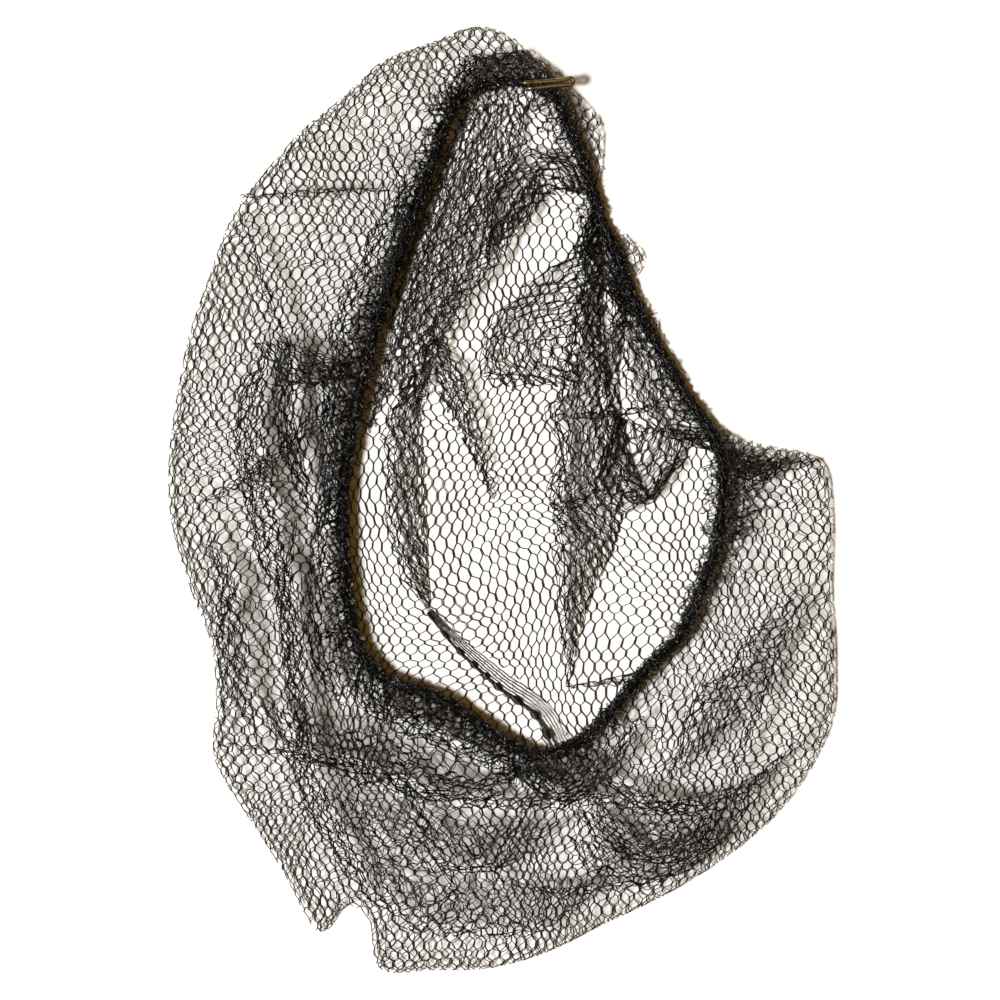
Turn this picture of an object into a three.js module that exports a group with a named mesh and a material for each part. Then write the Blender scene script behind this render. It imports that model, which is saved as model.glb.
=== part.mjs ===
// Hairnet of black nylon netting, lying crown down on a flat surface with its elastic edge on top.
// Millimetres, +Z up. Seen from above, X runs to the right and Y away from the viewer.
// The origin is on the surface, at the middle of the net's outline.
// The net is one pouch: a lower layer on the surface, folded back at the rim into an upper layer
// that is gathered in to the elastic.
import * as THREE from 'three';

// Netting
const NET_WALL = 1.0;
const CROWN_CENTRE = new THREE.Vector2(-1.5, -18.3);
const RIM_HEIGHT = 2.2;
const RIM_SHARPNESS = 24;
const SHORTEST_EDGE_RUN = 24;

// Upper layer's curve, with the places of its two handles between the elastic and the rim
const SHOULDER_SHARE = 0.4;
const SWELL_SHARE = 0.1;
const SWELL_RISE = 1.0;
const SWELL_PER_PUFF = 1.1;
const NARROW_WIDTH = 6;
const NARROW_TUCK = 3;

// Rows of the netting's mesh, counted from the crown centre, and its gaps in steps of that mesh
const RIM_ROW = 21;
const EDGE_ROW = 30;
const GAP_STEP = 3;
const GAP_REACH = 2;
const GAP_SPREAD = 1.25;
const FIRST_GAP_ROW = 6;

// Gathers of the upper layer, between the rim and the elastic
const GATHERS = 34;
const GATHER_HEIGHT = 1.6;
const GATHER_FULL_RUN = 40;
const GATHER_SWAY = 1.3;
const SWAYS = 5;

// Loose folds draw in the netting around their foot
const FOLD_DRAW = 0.45;
const FOLD_DRAW_REACH = 20;
const FOLD_FULL_HEIGHT = 5;

// Elastic edge, seam and clip
const ELASTIC_RADIUS = 1.8;
const ELASTIC_HEIGHT = 5.6;
const ELASTIC_STEPS = 110;
const ELASTIC_SIDES = 6;
const SEAT_GAP = 0.35;
const NET_SEAT_GAP = 0.68;
const SEAM_WIDTH = [3.0, 3.4, 4.2, 5.2];
const SEAM_THICKNESS = 1.0;
const SEAM_STEPS = 24;
const SEAM_RISE = 1.0;
const SEAM_RISE_SHARPNESS = 6;
const CLIP_WIRE_RADIUS = 0.42;
const CLIP_STEPS = 40;
const CLIP_ARC_STEPS = 4;

// Sections, clockwise from the top. Each runs from a point of the elastic out to the rim below it.
// puff is how far the upper layer swells above the elastic there.
const SECTIONS = [
  { ring: [0.0, 124.5], rim: [-6.0, 141.3], puff: 4 },
  { ring: [8.4, 123.9], rim: [8.4, 133.2], puff: 1 },
  { ring: [16.8, 119.1], rim: [19.5, 124.1], puff: 1 },
  { ring: [23.1, 110.7], rim: [30.2, 115.1], puff: 3 },
  { ring: [26.4, 102.3], rim: [30.0, 104.1], puff: 1 },
  { ring: [29.4, 92.7], rim: [31.4, 93.3], puff: 0 },
  { ring: [33.0, 83.1], rim: [35.4, 83.6], puff: 0 },
  { ring: [36.6, 74.1], rim: [43.6, 73.4], puff: 1 },
  { ring: [39.6, 64.2], rim: [41.8, 64.8], puff: 0 },
  { ring: [43.5, 54.3], rim: [47.7, 54.6], puff: 1 },
  { ring: [48.0, 45.3], rim: [50.4, 46.6], puff: 0 },
  { ring: [57.0, 29.7], rim: [60.0, 31.7], puff: 0 },
  { ring: [64.2, 18.3], rim: [67.2, 20.7], puff: 1 },
  { ring: [66.3, 11.1], rim: [81.0, 15.3], puff: 4 },
  { ring: [66.6, 4.2], rim: [96.0, 10.8], puff: 6 },
  { ring: [65.7, -6.3], rim: [99.0, -6.3], puff: 8 },
  { ring: [63.6, -16.8], rim: [98.7, -25.8], puff: 8 },
  { ring: [59.4, -27.9], rim: [99.9, -46.8], puff: 8 },
  { ring: [53.4, -41.1], rim: [98.7, -66.9], puff: 9 },
  { ring: [46.2, -48.3], rim: [86.4, -89.7], puff: 9 },
  { ring: [39.6, -55.5], rim: [72.0, -103.8], puff: 9 },
  { ring: [32.4, -63.9], rim: [51.6, -117.3], puff: 9 },
  { ring: [25.5, -70.8], rim: [30.0, -127.8], puff: 8 },
  { ring: [18.6, -75.3], rim: [13.5, -135.9], puff: 7 },
  { ring: [11.4, -76.8], rim: [-3.0, -140.4], puff: 7 },
  { ring: [3.6, -73.8], rim: [-19.2, -141.0], puff: 8 },
  { ring: [-3.6, -69.3], rim: [-36.0, -140.4], puff: 8 },
  { ring: [-11.1, -63.9], rim: [-39.6, -124.8], puff: 8 },
  { ring: [-18.6, -59.4], rim: [-46.5, -121.8], puff: 8 },
  { ring: [-26.4, -56.7], rim: [-53.7, -129.6], puff: 8 },
  { ring: [-34.5, -53.4], rim: [-65.7, -110.1], puff: 9 },
  { ring: [-40.8, -47.1], rim: [-76.2, -93.9], puff: 9 },
  { ring: [-44.1, -38.1], rim: [-85.5, -77.4], puff: 9 },
  { ring: [-45.9, -27.3], rim: [-84.9, -60.3], puff: 9 },
  { ring: [-46.8, -15.3], rim: [-86.4, -43.8], puff: 9 },
  { ring: [-47.1, -3.9], rim: [-93.0, -25.8], puff: 9 },
  { ring: [-46.2, 8.7], rim: [-98.7, -4.8], puff: 9 },
  { ring: [-44.4, 20.1], rim: [-99.0, 13.2], puff: 9 },
  { ring: [-42.0, 32.1], rim: [-96.6, 31.8], puff: 9 },
  { ring: [-39.0, 44.7], rim: [-93.0, 49.2], puff: 9 },
  { ring: [-35.1, 57.3], rim: [-87.0, 66.6], puff: 9 },
  { ring: [-31.2, 69.3], rim: [-79.8, 85.2], puff: 8 },
  { ring: [-27.6, 80.1], rim: [-68.4, 100.2], puff: 8 },
  { ring: [-23.7, 90.9], rim: [-58.2, 111.3], puff: 8 },
  { ring: [-19.5, 102.3], rim: [-47.1, 120.3], puff: 8 },
  { ring: [-15.6, 113.7], rim: [-35.1, 131.1], puff: 7 },
  { ring: [-10.8, 120.6], rim: [-21.0, 136.5], puff: 6 },
];

// Loose folds of the lower layer inside the elastic. Each fold's foot runs through its stations,
// reach mm to either side, and the fold leans over by lean mm to the right of that run.
const FOLDS = {
  topFold: [
    { x: -1.5, y: 113.0, reach: 8, lean: 0, height: 0 },
    { x: -10.0, y: 95.7, reach: 10, lean: -15, height: 6 },
    { x: -17.0, y: 77.7, reach: 10, lean: -18, height: 7 },
    { x: -22.0, y: 59.7, reach: 9, lean: -12, height: 6 },
    { x: -26.0, y: 44.7, reach: 8, lean: 0, height: 0 },
  ],
  seamFold: [
    { x: -24.0, y: 36.0, reach: 7, lean: 0, height: 0 },
    { x: -25.5, y: 14.7, reach: 7, lean: 9, height: 6 },
    { x: -24.6, y: -3.3, reach: 7, lean: 9, height: 6 },
    { x: -22.5, y: -19.8, reach: 7, lean: 7, height: 5 },
    { x: -20.1, y: -32.0, reach: 6, lean: 0, height: 0 },
  ],
  crownFold: [
    { x: -19.0, y: 42.0, reach: 6, lean: 0, height: 0 },
    { x: -14.5, y: 29.0, reach: 6, lean: -7, height: 6 },
    { x: -8.5, y: 16.5, reach: 6, lean: -5, height: 5 },
    { x: -3.0, y: 3.0, reach: 5, lean: 0, height: 0 },
  ],
  bigFlap: [
    { x: 31.0, y: 48.0, reach: 9, lean: 0, height: 0 },
    { x: 31.5, y: 29.0, reach: 10, lean: 18, height: 8 },
    { x: 33.0, y: 6.0, reach: 10, lean: 20, height: 9 },
    { x: 29.0, y: -18.0, reach: 9, lean: 14, height: 7 },
    { x: 24.0, y: -40.0, reach: 8, lean: 5, height: 5 },
    { x: 21.6, y: -54.0, reach: 7, lean: 0, height: 0 },
  ],
  sideFlap: [
    { x: 42.0, y: 42.0, reach: 8, lean: 0, height: 0 },
    { x: 48.5, y: 24.0, reach: 8, lean: 5, height: 5 },
    { x: 50.0, y: 12.0, reach: 8, lean: 6, height: 5 },
    { x: 51.0, y: -6.0, reach: 7, lean: 0, height: 0 },
  ],
};

// Creases of the upper layer, as lines that stand rise mm out of it, or sink in where rise is negative.
const CREASES = {
  left: { path: [[-90, -2], [-70, 14], [-52, 29]], width: 5, rise: 3.5 },
  leftDent: { path: [[-68, 47], [-64, 30], [-58, 12]], width: 7, rise: -4 },
  leftLow: { path: [[-76, -26], [-74, -46], [-74, -62]], width: 5, rise: 3 },
  besideElastic: { path: [[-54, -20], [-55, -40], [-52, -60]], width: 5, rise: 3 },
  bottom: {
    path: [[-74, -74], [-45, -79], [-21, -88], [6, -90], [45, -91], [72, -84], [88, -66]],
    width: 5,
    rise: 4,
  },
  bottomLeft: { path: [[2, -84], [-6, -104], [-16, -126]], width: 5, rise: -3 },
  bottomRight: { path: [[22, -84], [27, -100], [33, -116]], width: 5, rise: -3 },
  lowRight: { path: [[30, -112], [50, -106], [69, -98]], width: 5, rise: 3 },
  right: { path: [[72, 7], [81, 8], [90, 8]], width: 5, rise: 3 },
  topLeft: { path: [[-74, 91], [-54, 93], [-36, 92]], width: 5, rise: 3 },
};

// Crown seam, from its free end on the crown to the elastic
const SEAM_PATH = [[-21.0, -34.5], [-9.0, -46.8], [4.5, -59.7], [16.4, -74.4]];

// Wire of the clip: out along one leg, round the eye and back along the other
const CLIP_PATH = [
  [6.6, 124.6], [11.0, 124.8], [15.0, 125.1], [19.2, 125.5], [21.0, 126.1], [22.2, 125.4],
  [21.7, 124.1], [19.6, 124.1], [15.6, 123.7], [12.0, 123.0], [8.1, 122.3],
];

const MATERIALS = {
  nylon: { color: 0x17171c, roughness: 0.55, metalness: 0 },
  elastic: { color: 0x101014, roughness: 0.6, metalness: 0 },
  seam: { color: 0x24242c, roughness: 0.45, metalness: 0 },
  brass: { color: 0x8f7a45, roughness: 0.35, metalness: 1 },
};

const TURN = 2 * Math.PI;
const SECTORS = 6;
const RIM_DIVISIONS = 600;
const UPPER_DIVISIONS = 40;

const ringCurve = new THREE.CatmullRomCurve3(
  SECTIONS.map(({ ring }) => new THREE.Vector3(ring[0], ring[1], ELASTIC_HEIGHT)),
  true,
);
const rimCurve = new THREE.CatmullRomCurve3(
  SECTIONS.map(({ rim }) => new THREE.Vector3(rim[0], rim[1], RIM_HEIGHT)),
  true,
);
rimCurve.arcLengthDivisions = RIM_DIVISIONS;

// Swell of the upper layer at a share of the way round, eased between the sections.
function puffAt(share) {
  const place = share * SECTIONS.length;
  const before = Math.floor(place) % SECTIONS.length;
  const after = (before + 1) % SECTIONS.length;
  const blend = THREE.MathUtils.smoothstep(place - Math.floor(place), 0, 1);
  return THREE.MathUtils.lerp(SECTIONS[before].puff, SECTIONS[after].puff, blend);
}

// Section of the net at a turn from 0 to 1: the rim and the upper layer's curve from there to the elastic.
function sectionAt(turn) {
  const share = rimCurve.getUtoTmapping(turn);
  const rim = rimCurve.getPoint(share);
  const ring = ringCurve.getPoint(share);
  const puff = puffAt(share);
  const outward = rim.clone().sub(ring).setZ(0);
  const width = outward.length();
  const tuck = NARROW_TUCK * Math.exp(-((width / NARROW_WIDTH) ** 2));
  const shoulder = ring.clone().addScaledVector(outward, SHOULDER_SHARE);
  shoulder.z += puff - tuck;
  const swell = rim.clone().addScaledVector(outward, -SWELL_SHARE);
  swell.z += SWELL_RISE + SWELL_PER_PUFF * puff;
  const seat = shoulder.clone().sub(ring).setLength(ELASTIC_RADIUS + NET_SEAT_GAP).add(ring);
  const upper = new THREE.CubicBezierCurve3(rim, swell, shoulder, seat);
  upper.arcLengthDivisions = UPPER_DIVISIONS;
  const reach = Math.hypot(rim.x - CROWN_CENTRE.x, rim.y - CROWN_CENTRE.y);
  return { rim, upper, reach, upperRun: upper.getLength() };
}

// Nearest place on a path in plan: how far along it, its side distance (right is positive) and its right side.
function nearestOn(path, x, y) {
  let best = { distance: Infinity };
  for (let i = 0; i + 1 < path.length; i += 1) {
    const [ax, ay] = path[i];
    const [bx, by] = path[i + 1];
    const length = Math.hypot(bx - ax, by - ay);
    const tx = (bx - ax) / length;
    const ty = (by - ay) / length;
    const run = THREE.MathUtils.clamp((x - ax) * tx + (y - ay) * ty, 0, length);
    const dx = x - ax - tx * run;
    const dy = y - ay - ty * run;
    const distance = Math.hypot(dx, dy);
    if (distance < best.distance) {
      best = { distance, along: i + run / length, side: dx * ty - dy * tx, right: [ty, -tx] };
    }
  }
  return best;
}

// Draws the netting towards a fold's foot, lifts it there and leans it over to one side.
function foldOver(point, stations) {
  const place = nearestOn(stations.map(({ x, y }) => [x, y]), point.x, point.y);
  const index = Math.min(Math.floor(place.along), stations.length - 2);
  const blend = THREE.MathUtils.smoothstep(place.along - index, 0, 1);
  const value = (key) => THREE.MathUtils.lerp(stations[index][key], stations[index + 1][key], blend);
  const fullness = Math.min(1, value('height') / FOLD_FULL_HEIGHT);
  const draw = FOLD_DRAW * fullness * Math.exp(-((place.distance / FOLD_DRAW_REACH) ** 2));
  const distance = place.distance * (1 - draw);
  const crest = distance < value('reach') ? 0.5 + 0.5 * Math.cos(Math.PI * distance / value('reach')) : 0;
  const shift = value('lean') * crest - place.side * draw;
  point.x += place.right[0] * shift;
  point.y += place.right[1] * shift;
  point.z += value('height') * crest;
}

// Height that the creases add to the upper layer at a place in plan.
function creaseHeight(x, y) {
  let height = 0;
  for (const { path, width, rise } of Object.values(CREASES)) {
    const place = nearestOn(path, x, y);
    height += rise * Math.exp(-((place.distance / width) ** 2));
  }
  return height;
}

// Point of the netting's middle surface at a turn round the crown and a row out from its centre.
function netPoint(turn, row) {
  const { rim, upper, reach, upperRun } = sectionAt(turn);
  const edgeRun = Math.max(upperRun, SHORTEST_EDGE_RUN);
  const crownRun = reach + upperRun - edgeRun;
  const travel = row <= RIM_ROW
    ? crownRun * row / RIM_ROW
    : crownRun + edgeRun * (row - RIM_ROW) / (EDGE_ROW - RIM_ROW);
  if (travel <= reach) {
    const share = travel / reach;
    const point = new THREE.Vector3(
      THREE.MathUtils.lerp(CROWN_CENTRE.x, rim.x, share),
      THREE.MathUtils.lerp(CROWN_CENTRE.y, rim.y, share),
      NET_WALL / 2 + (RIM_HEIGHT - NET_WALL / 2) * share ** RIM_SHARPNESS,
    );
    Object.values(FOLDS).forEach((stations) => foldOver(point, stations));
    return point;
  }
  const share = (travel - reach) / upperRun;
  const point = upper.getPointAt(Math.min(share, 1));
  const room = Math.min(1, upperRun / GATHER_FULL_RUN);
  const sway = GATHER_SWAY * Math.sin(TURN * SWAYS * turn);
  const gather = Math.cos(TURN * GATHERS * turn + sway) * share * Math.sin(Math.PI * share);
  point.z += 2 * GATHER_HEIGHT * room * gather;
  point.z += room * Math.sin(Math.PI * share) * creaseHeight(point.x, point.y);
  return point;
}

// Places of the mesh's vertices: row by row, each row six times its number of steps long, on a plane
// of equal triangles. Their gaps are hexagons, whose corners are spread to leave slim strands.
function lattice() {
  const corner = (sector) => new THREE.Vector2(
    Math.cos(sector * TURN / SECTORS),
    Math.sin(sector * TURN / SECTORS),
  );
  const places = [{ plane: new THREE.Vector2(0, 0), centre: false, cut: false }];
  for (let row = 1; row <= EDGE_ROW; row += 1) {
    for (let place = 0; place < SECTORS * row; place += 1) {
      const sector = Math.floor(place / row);
      const across = place % row;
      const plane = corner(sector).multiplyScalar(row - across).addScaledVector(corner(sector + 1), across);
      const onStep = row % GAP_STEP === 0 && across % GAP_STEP === 0;
      const onGap = onStep && ((row - 2 * across) / GAP_STEP) % 3 === 0;
      const free = row >= FIRST_GAP_ROW && row !== RIM_ROW && row + GAP_REACH < EDGE_ROW;
      places.push({ plane, centre: onGap && free, cut: false });
    }
  }
  for (const gap of places.filter(({ centre }) => centre)) {
    for (const other of places) {
      const offset = (other.moved ?? other.plane).clone().sub(gap.plane);
      if (offset.length() > GAP_REACH + 0.1 || other.moved) continue;
      const slant = 2 * offset.y / Math.sqrt(3);
      const level = offset.x - offset.y / Math.sqrt(3);
      const steps = Math.round(Math.max(Math.abs(slant), Math.abs(level), Math.abs(slant + level)));
      if (steps < GAP_REACH) other.cut = true;
      if (steps === GAP_REACH) other.moved = gap.plane.clone().addScaledVector(offset, GAP_SPREAD);
    }
  }
  return places;
}

// Turn and row of a place on the lattice's plane.
function polarOf(plane) {
  const angle = (Math.atan2(plane.y, plane.x) + TURN) % TURN;
  const sectorTurn = TURN / SECTORS;
  const sector = Math.min(SECTORS - 1, Math.floor(angle / sectorTurn + 1e-9));
  const lean = angle - sector * sectorTurn;
  const across = plane.length() * Math.sin(lean) / Math.sin(sectorTurn);
  const along = plane.length() * Math.sin(sectorTurn - lean) / Math.sin(sectorTurn);
  const row = across + along;
  return { row, turn: row > 0 ? (sector + across / row) / SECTORS : 0 };
}

// Triangles between the lattice's rows, as triples of vertex numbers.
function latticeTriangles() {
  const first = (row) => (row === 0 ? 0 : 1 + SECTORS * row * (row - 1) / 2);
  const number = (row, place) => first(row) + (row === 0 ? 0 : place % (SECTORS * row));
  const triangles = [];
  for (let row = 1; row <= EDGE_ROW; row += 1) {
    for (let sector = 0; sector < SECTORS; sector += 1) {
      for (let step = 0; step < row; step += 1) {
        const outer = sector * row + step;
        const inner = sector * (row - 1) + step;
        triangles.push([number(row, outer), number(row, outer + 1), number(row - 1, inner)]);
        if (step + 1 < row) {
          triangles.push([number(row - 1, inner), number(row, outer + 1), number(row - 1, inner + 1)]);
        }
      }
    }
  }
  return triangles;
}

// Gives a sheet of triangles a wall: both faces, half the wall to each side, and a strip along every edge.
function thicken(points, triangles, wall) {
  const normals = points.map(() => new THREE.Vector3());
  const face = new THREE.Vector3();
  const arm = new THREE.Vector3();
  for (const [a, b, c] of triangles) {
    face.subVectors(points[b], points[a]).cross(arm.subVectors(points[c], points[a]));
    [a, b, c].forEach((vertex) => normals[vertex].add(face));
  }
  const used = [...new Set(triangles.flat())];
  const numbers = new Map(used.map((vertex, index) => [vertex, 2 * index]));
  const positions = used.flatMap((vertex) => {
    const half = normals[vertex].setLength(wall / 2);
    const up = points[vertex].clone().add(half);
    const down = points[vertex].clone().sub(half);
    return [...up.toArray(), ...down.toArray()];
  });
  const indices = [];
  const edges = new Set();
  for (const corners of triangles) {
    const [a, b, c] = corners.map((vertex) => numbers.get(vertex));
    indices.push(a, b, c, c + 1, b + 1, a + 1);
    [[a, b], [b, c], [c, a]].forEach(([from, to]) => edges.add(`${from},${to}`));
  }
  for (const edge of edges) {
    const [from, to] = edge.split(',').map(Number);
    if (!edges.has(`${to},${from}`)) {
      indices.push(to, from, from + 1, to, from + 1, to + 1);
    }
  }
  return indexed(positions, indices);
}

function indexed(positions, indices) {
  const geometry = new THREE.BufferGeometry();
  geometry.setAttribute('position', new THREE.Float32BufferAttribute(positions, 3));
  geometry.setIndex(indices);
  return geometry;
}

// Netting as a walled pouch with hexagonal gaps.
function netGeometry() {
  const places = lattice();
  const points = places.map((place) => {
    const { turn, row } = polarOf(place.moved ?? place.plane);
    return netPoint(turn, row);
  });
  const kept = latticeTriangles().filter((corners) => corners.every((vertex) => !places[vertex].cut));
  return thicken(points, kept, NET_WALL);
}

// Elastic cord in its gathered casing, as a closed ring.
function elasticGeometry() {
  return new THREE.TubeGeometry(ringCurve, ELASTIC_STEPS, ELASTIC_RADIUS, ELASTIC_SIDES, true);
}

// Knitted seam tape on the crown, widening towards the elastic and rising to it at the end.
function seamGeometry() {
  const low = NET_WALL + SEAT_GAP;
  const curve = new THREE.CatmullRomCurve3(SEAM_PATH.map(([x, y]) => new THREE.Vector3(x, y, 0)));
  const spans = SEAM_WIDTH.length - 1;
  const points = [];
  const triangles = [];
  for (let step = 0; step <= SEAM_STEPS; step += 1) {
    const share = step / SEAM_STEPS;
    const place = curve.getPoint(share);
    const tangent = curve.getTangent(share);
    const index = Math.min(Math.floor(share * spans), spans - 1);
    const width = THREE.MathUtils.lerp(SEAM_WIDTH[index], SEAM_WIDTH[index + 1], share * spans - index);
    const height = low + SEAM_THICKNESS / 2 + SEAM_RISE * share ** SEAM_RISE_SHARPNESS;
    [-0.5, 0, 0.5].forEach((across) => {
      points.push(new THREE.Vector3(
        place.x + tangent.y * width * across,
        place.y - tangent.x * width * across,
        height,
      ));
    });
  }
  for (let step = 0; step < SEAM_STEPS; step += 1) {
    for (let lane = 0; lane < 2; lane += 1) {
      const corner = 3 * step + lane;
      triangles.push([corner, corner + 1, corner + 4], [corner, corner + 4, corner + 3]);
    }
  }
  return thicken(points, triangles, SEAM_THICKNESS);
}

// Bent wire clip that grips the gathered edge beside the top of the ring, its eye standing out.
function clipGeometry() {
  const height = ELASTIC_HEIGHT + ELASTIC_RADIUS + SEAT_GAP + CLIP_WIRE_RADIUS;
  const path = new THREE.CatmullRomCurve3(CLIP_PATH.map(([x, y]) => new THREE.Vector3(x, y, height)));
  const section = new THREE.Shape();
  section.absarc(0, 0, CLIP_WIRE_RADIUS, 0, TURN, false);
  return new THREE.ExtrudeGeometry(section, {
    steps: CLIP_STEPS,
    curveSegments: CLIP_ARC_STEPS,
    extrudePath: path,
  });
}

function piece(name, geometry, material) {
  const mesh = new THREE.Mesh(geometry, new THREE.MeshStandardMaterial(material));
  mesh.name = name;
  return mesh;
}

const hairnet = new THREE.Group();
hairnet.add(
  piece('net', netGeometry(), MATERIALS.nylon),
  piece('elastic', elasticGeometry(), MATERIALS.elastic),
  piece('seam_strip', seamGeometry(), MATERIALS.seam),
  piece('clip', clipGeometry(), MATERIALS.brass),
);

// Stand the net on its origin.
const bounds = new THREE.Box3().setFromObject(hairnet);
const middle = bounds.getCenter(new THREE.Vector3());
hairnet.position.set(-middle.x, -middle.y, -bounds.min.z);

export default hairnet;
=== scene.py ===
"""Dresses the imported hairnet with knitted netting, a gathered elastic edge, a crown seam and a brass clip.

Tables are in millimetres, from above, with X to the right and Y away from the viewer. Meshes are in metres.
"""
import logging
import math
from dataclasses import dataclass, field
from enum import Enum
from typing import Callable, NamedTuple

import bpy
import numpy as np
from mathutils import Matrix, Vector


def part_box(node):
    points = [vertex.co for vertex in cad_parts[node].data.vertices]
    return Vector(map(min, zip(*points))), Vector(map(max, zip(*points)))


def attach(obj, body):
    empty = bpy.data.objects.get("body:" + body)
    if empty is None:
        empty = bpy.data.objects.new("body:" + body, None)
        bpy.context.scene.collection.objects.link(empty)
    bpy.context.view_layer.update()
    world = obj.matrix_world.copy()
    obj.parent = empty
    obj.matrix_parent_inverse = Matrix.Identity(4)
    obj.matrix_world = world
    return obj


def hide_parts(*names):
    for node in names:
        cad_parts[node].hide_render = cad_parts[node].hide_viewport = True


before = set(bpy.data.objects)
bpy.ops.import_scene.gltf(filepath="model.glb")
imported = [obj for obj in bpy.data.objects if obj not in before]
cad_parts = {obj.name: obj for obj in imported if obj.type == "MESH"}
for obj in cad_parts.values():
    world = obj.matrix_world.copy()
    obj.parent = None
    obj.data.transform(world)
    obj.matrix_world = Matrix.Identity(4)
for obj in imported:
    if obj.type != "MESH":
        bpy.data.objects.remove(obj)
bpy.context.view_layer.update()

MILLIMETRE = 0.001
FULL_TURN = 2 * math.pi
# Most pairs of a point and a span that nearest() compares at once, to hold its memory down
PAIRS_AT_ONCE = 3_000_000
HeightAt = Callable[[np.ndarray], np.ndarray]
log = logging.getLogger("hairnet")


class Section(NamedTuple):
    """One section of the net, from a point of the elastic out to a point of the rim.

    It has the upper layer's swell between the two, how far the gathers reach out from the elastic and in from
    it, and the elastic's height.
    """

    ring_x: float
    ring_y: float
    rim_x: float
    rim_y: float
    puff: float
    reach_out: float
    reach_in: float
    height: float = 5.6


class Measure(Enum):
    """What a section says besides its two points, by its column in the table."""

    PUFF = 4
    REACH_OUT = 5
    REACH_IN = 6
    HEIGHT = 7


class Station(NamedTuple):
    """One place on the foot of a fold, with the fold's lean there and its height.

    A positive lean is to the right of the way along the stations. Where a row has only its place, the fold
    starts or ends flat.
    """

    x: float
    y: float
    lean: float = 0.0
    height: float = 0.0


class Pull(NamedTuple):
    """A patch of netting that is turned, and stretched or drawn together along and across a heading."""

    x: float
    y: float
    radius: float
    turn: float
    heading: float
    along: float
    across: float


class Side(Enum):
    """The two halves that a layer of netting is split into."""

    LEFT = "left"
    RIGHT = "right"


SECTIONS = (
    Section(0, 124.5, -6, 141.3, 4, 6, 4),
    Section(8.4, 123.9, 8.4, 133.2, 1, 5, 4),
    Section(16.8, 119.1, 22, 121.4, 2, 2, 4, 5.4),
    Section(20.4, 110.7, 29.4, 112.8, 3, 2, 5, 4.4),
    Section(24.3, 102.3, 30, 103.2, 1, 0.5, 5, 3.4),
    Section(27.8, 92.7, 29.2, 93.1, 0, 0, 5, 2.6),
    Section(30.4, 83.1, 31.8, 83.5, 0, 0, 4, 2.6),
    Section(34.6, 74.1, 42.4, 72.9, 1, 0.5, 4, 2.6),
    Section(38.2, 64.2, 39.5, 64.6, 0, 0, 4, 2.6),
    Section(42.4, 54.3, 46.2, 55, 1, 0, 4, 2.6),
    Section(47.4, 45.3, 48.6, 46, 0, 0, 4, 2.6),
    Section(56.6, 29.7, 57.8, 30.6, 0, 0, 3, 2.8),
    Section(64, 18.3, 66.4, 20.3, 1, 1, 2, 3.6),
    Section(66.3, 11.1, 81, 15.3, 4, 7, 2.5, 4.6),
    Section(66.6, 4.2, 96, 10.8, 6, 8, 3),
    Section(65.7, -6.3, 99, -6.3, 8, 6, 3),
    Section(63.6, -16.8, 98.7, -25.8, 8, 3, 2.5),
    Section(59.4, -27.9, 99.9, -46.8, 8, 1.5, 2),
    Section(53.4, -41.1, 98.7, -66.9, 9, 1.2, 1.5),
    Section(46.2, -48.3, 86.4, -89.7, 9, 1.2, 1),
    Section(39.6, -55.5, 72, -103.8, 9, 1.5, 0.4),
    Section(32.4, -63.9, 51.6, -117.3, 9, 2.5, 0.4),
    Section(25.5, -70.8, 30, -127.8, 8, 4, 0.6),
    Section(18.6, -75.3, 13.5, -135.9, 7, 6, 1),
    Section(11.4, -76.8, -3, -140.4, 7, 7, 1.5),
    Section(3.6, -73.8, -19.2, -141, 8, 7, 1.5),
    Section(-3.6, -69.3, -36, -140.4, 8, 4, 1),
    Section(-11.1, -63.9, -39.6, -124.8, 8, 6, 0.8),
    Section(-18.6, -59.4, -46.5, -121.8, 8, 6.5, 0.8),
    Section(-26.4, -56.7, -53.7, -129.6, 8, 7, 1),
    Section(-34.5, -53.4, -65.7, -110.1, 9, 7, 1.4),
    Section(-40.8, -47.1, -76.2, -93.9, 9, 7, 1.4),
    Section(-44.1, -38.1, -85.5, -77.4, 9, 6, 1.2),
    Section(-45.9, -27.3, -84.9, -60.3, 9, 4, 0.8),
    Section(-46.8, -15.3, -86.4, -43.8, 9, 3, 0.6),
    Section(-47.1, -3.9, -93, -25.8, 9, 3, 0.6),
    Section(-46.2, 8.7, -98.7, -4.8, 9, 4, 1.6),
    Section(-44.4, 20.1, -99, 13.2, 9, 5, 3.4),
    Section(-42, 32.1, -96.6, 31.8, 9, 5, 4.4),
    Section(-39, 44.7, -93, 49.2, 9, 5, 3),
    Section(-35.1, 57.3, -87, 66.6, 9, 3.5, 2.2),
    Section(-31.2, 69.3, -79.8, 85.2, 8, 2.5, 1.8),
    Section(-27.6, 80.1, -68.4, 100.2, 8, 2.5, 3),
    Section(-23.7, 90.9, -58.2, 111.3, 8, 2.5, 3),
    Section(-19.5, 102.3, -47.1, 120.3, 8, 3, 3),
    Section(-15.6, 113.7, -35.1, 131.1, 7, 4, 3),
    Section(-10.8, 120.6, -21, 136.5, 6, 6, 4),
)

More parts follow.
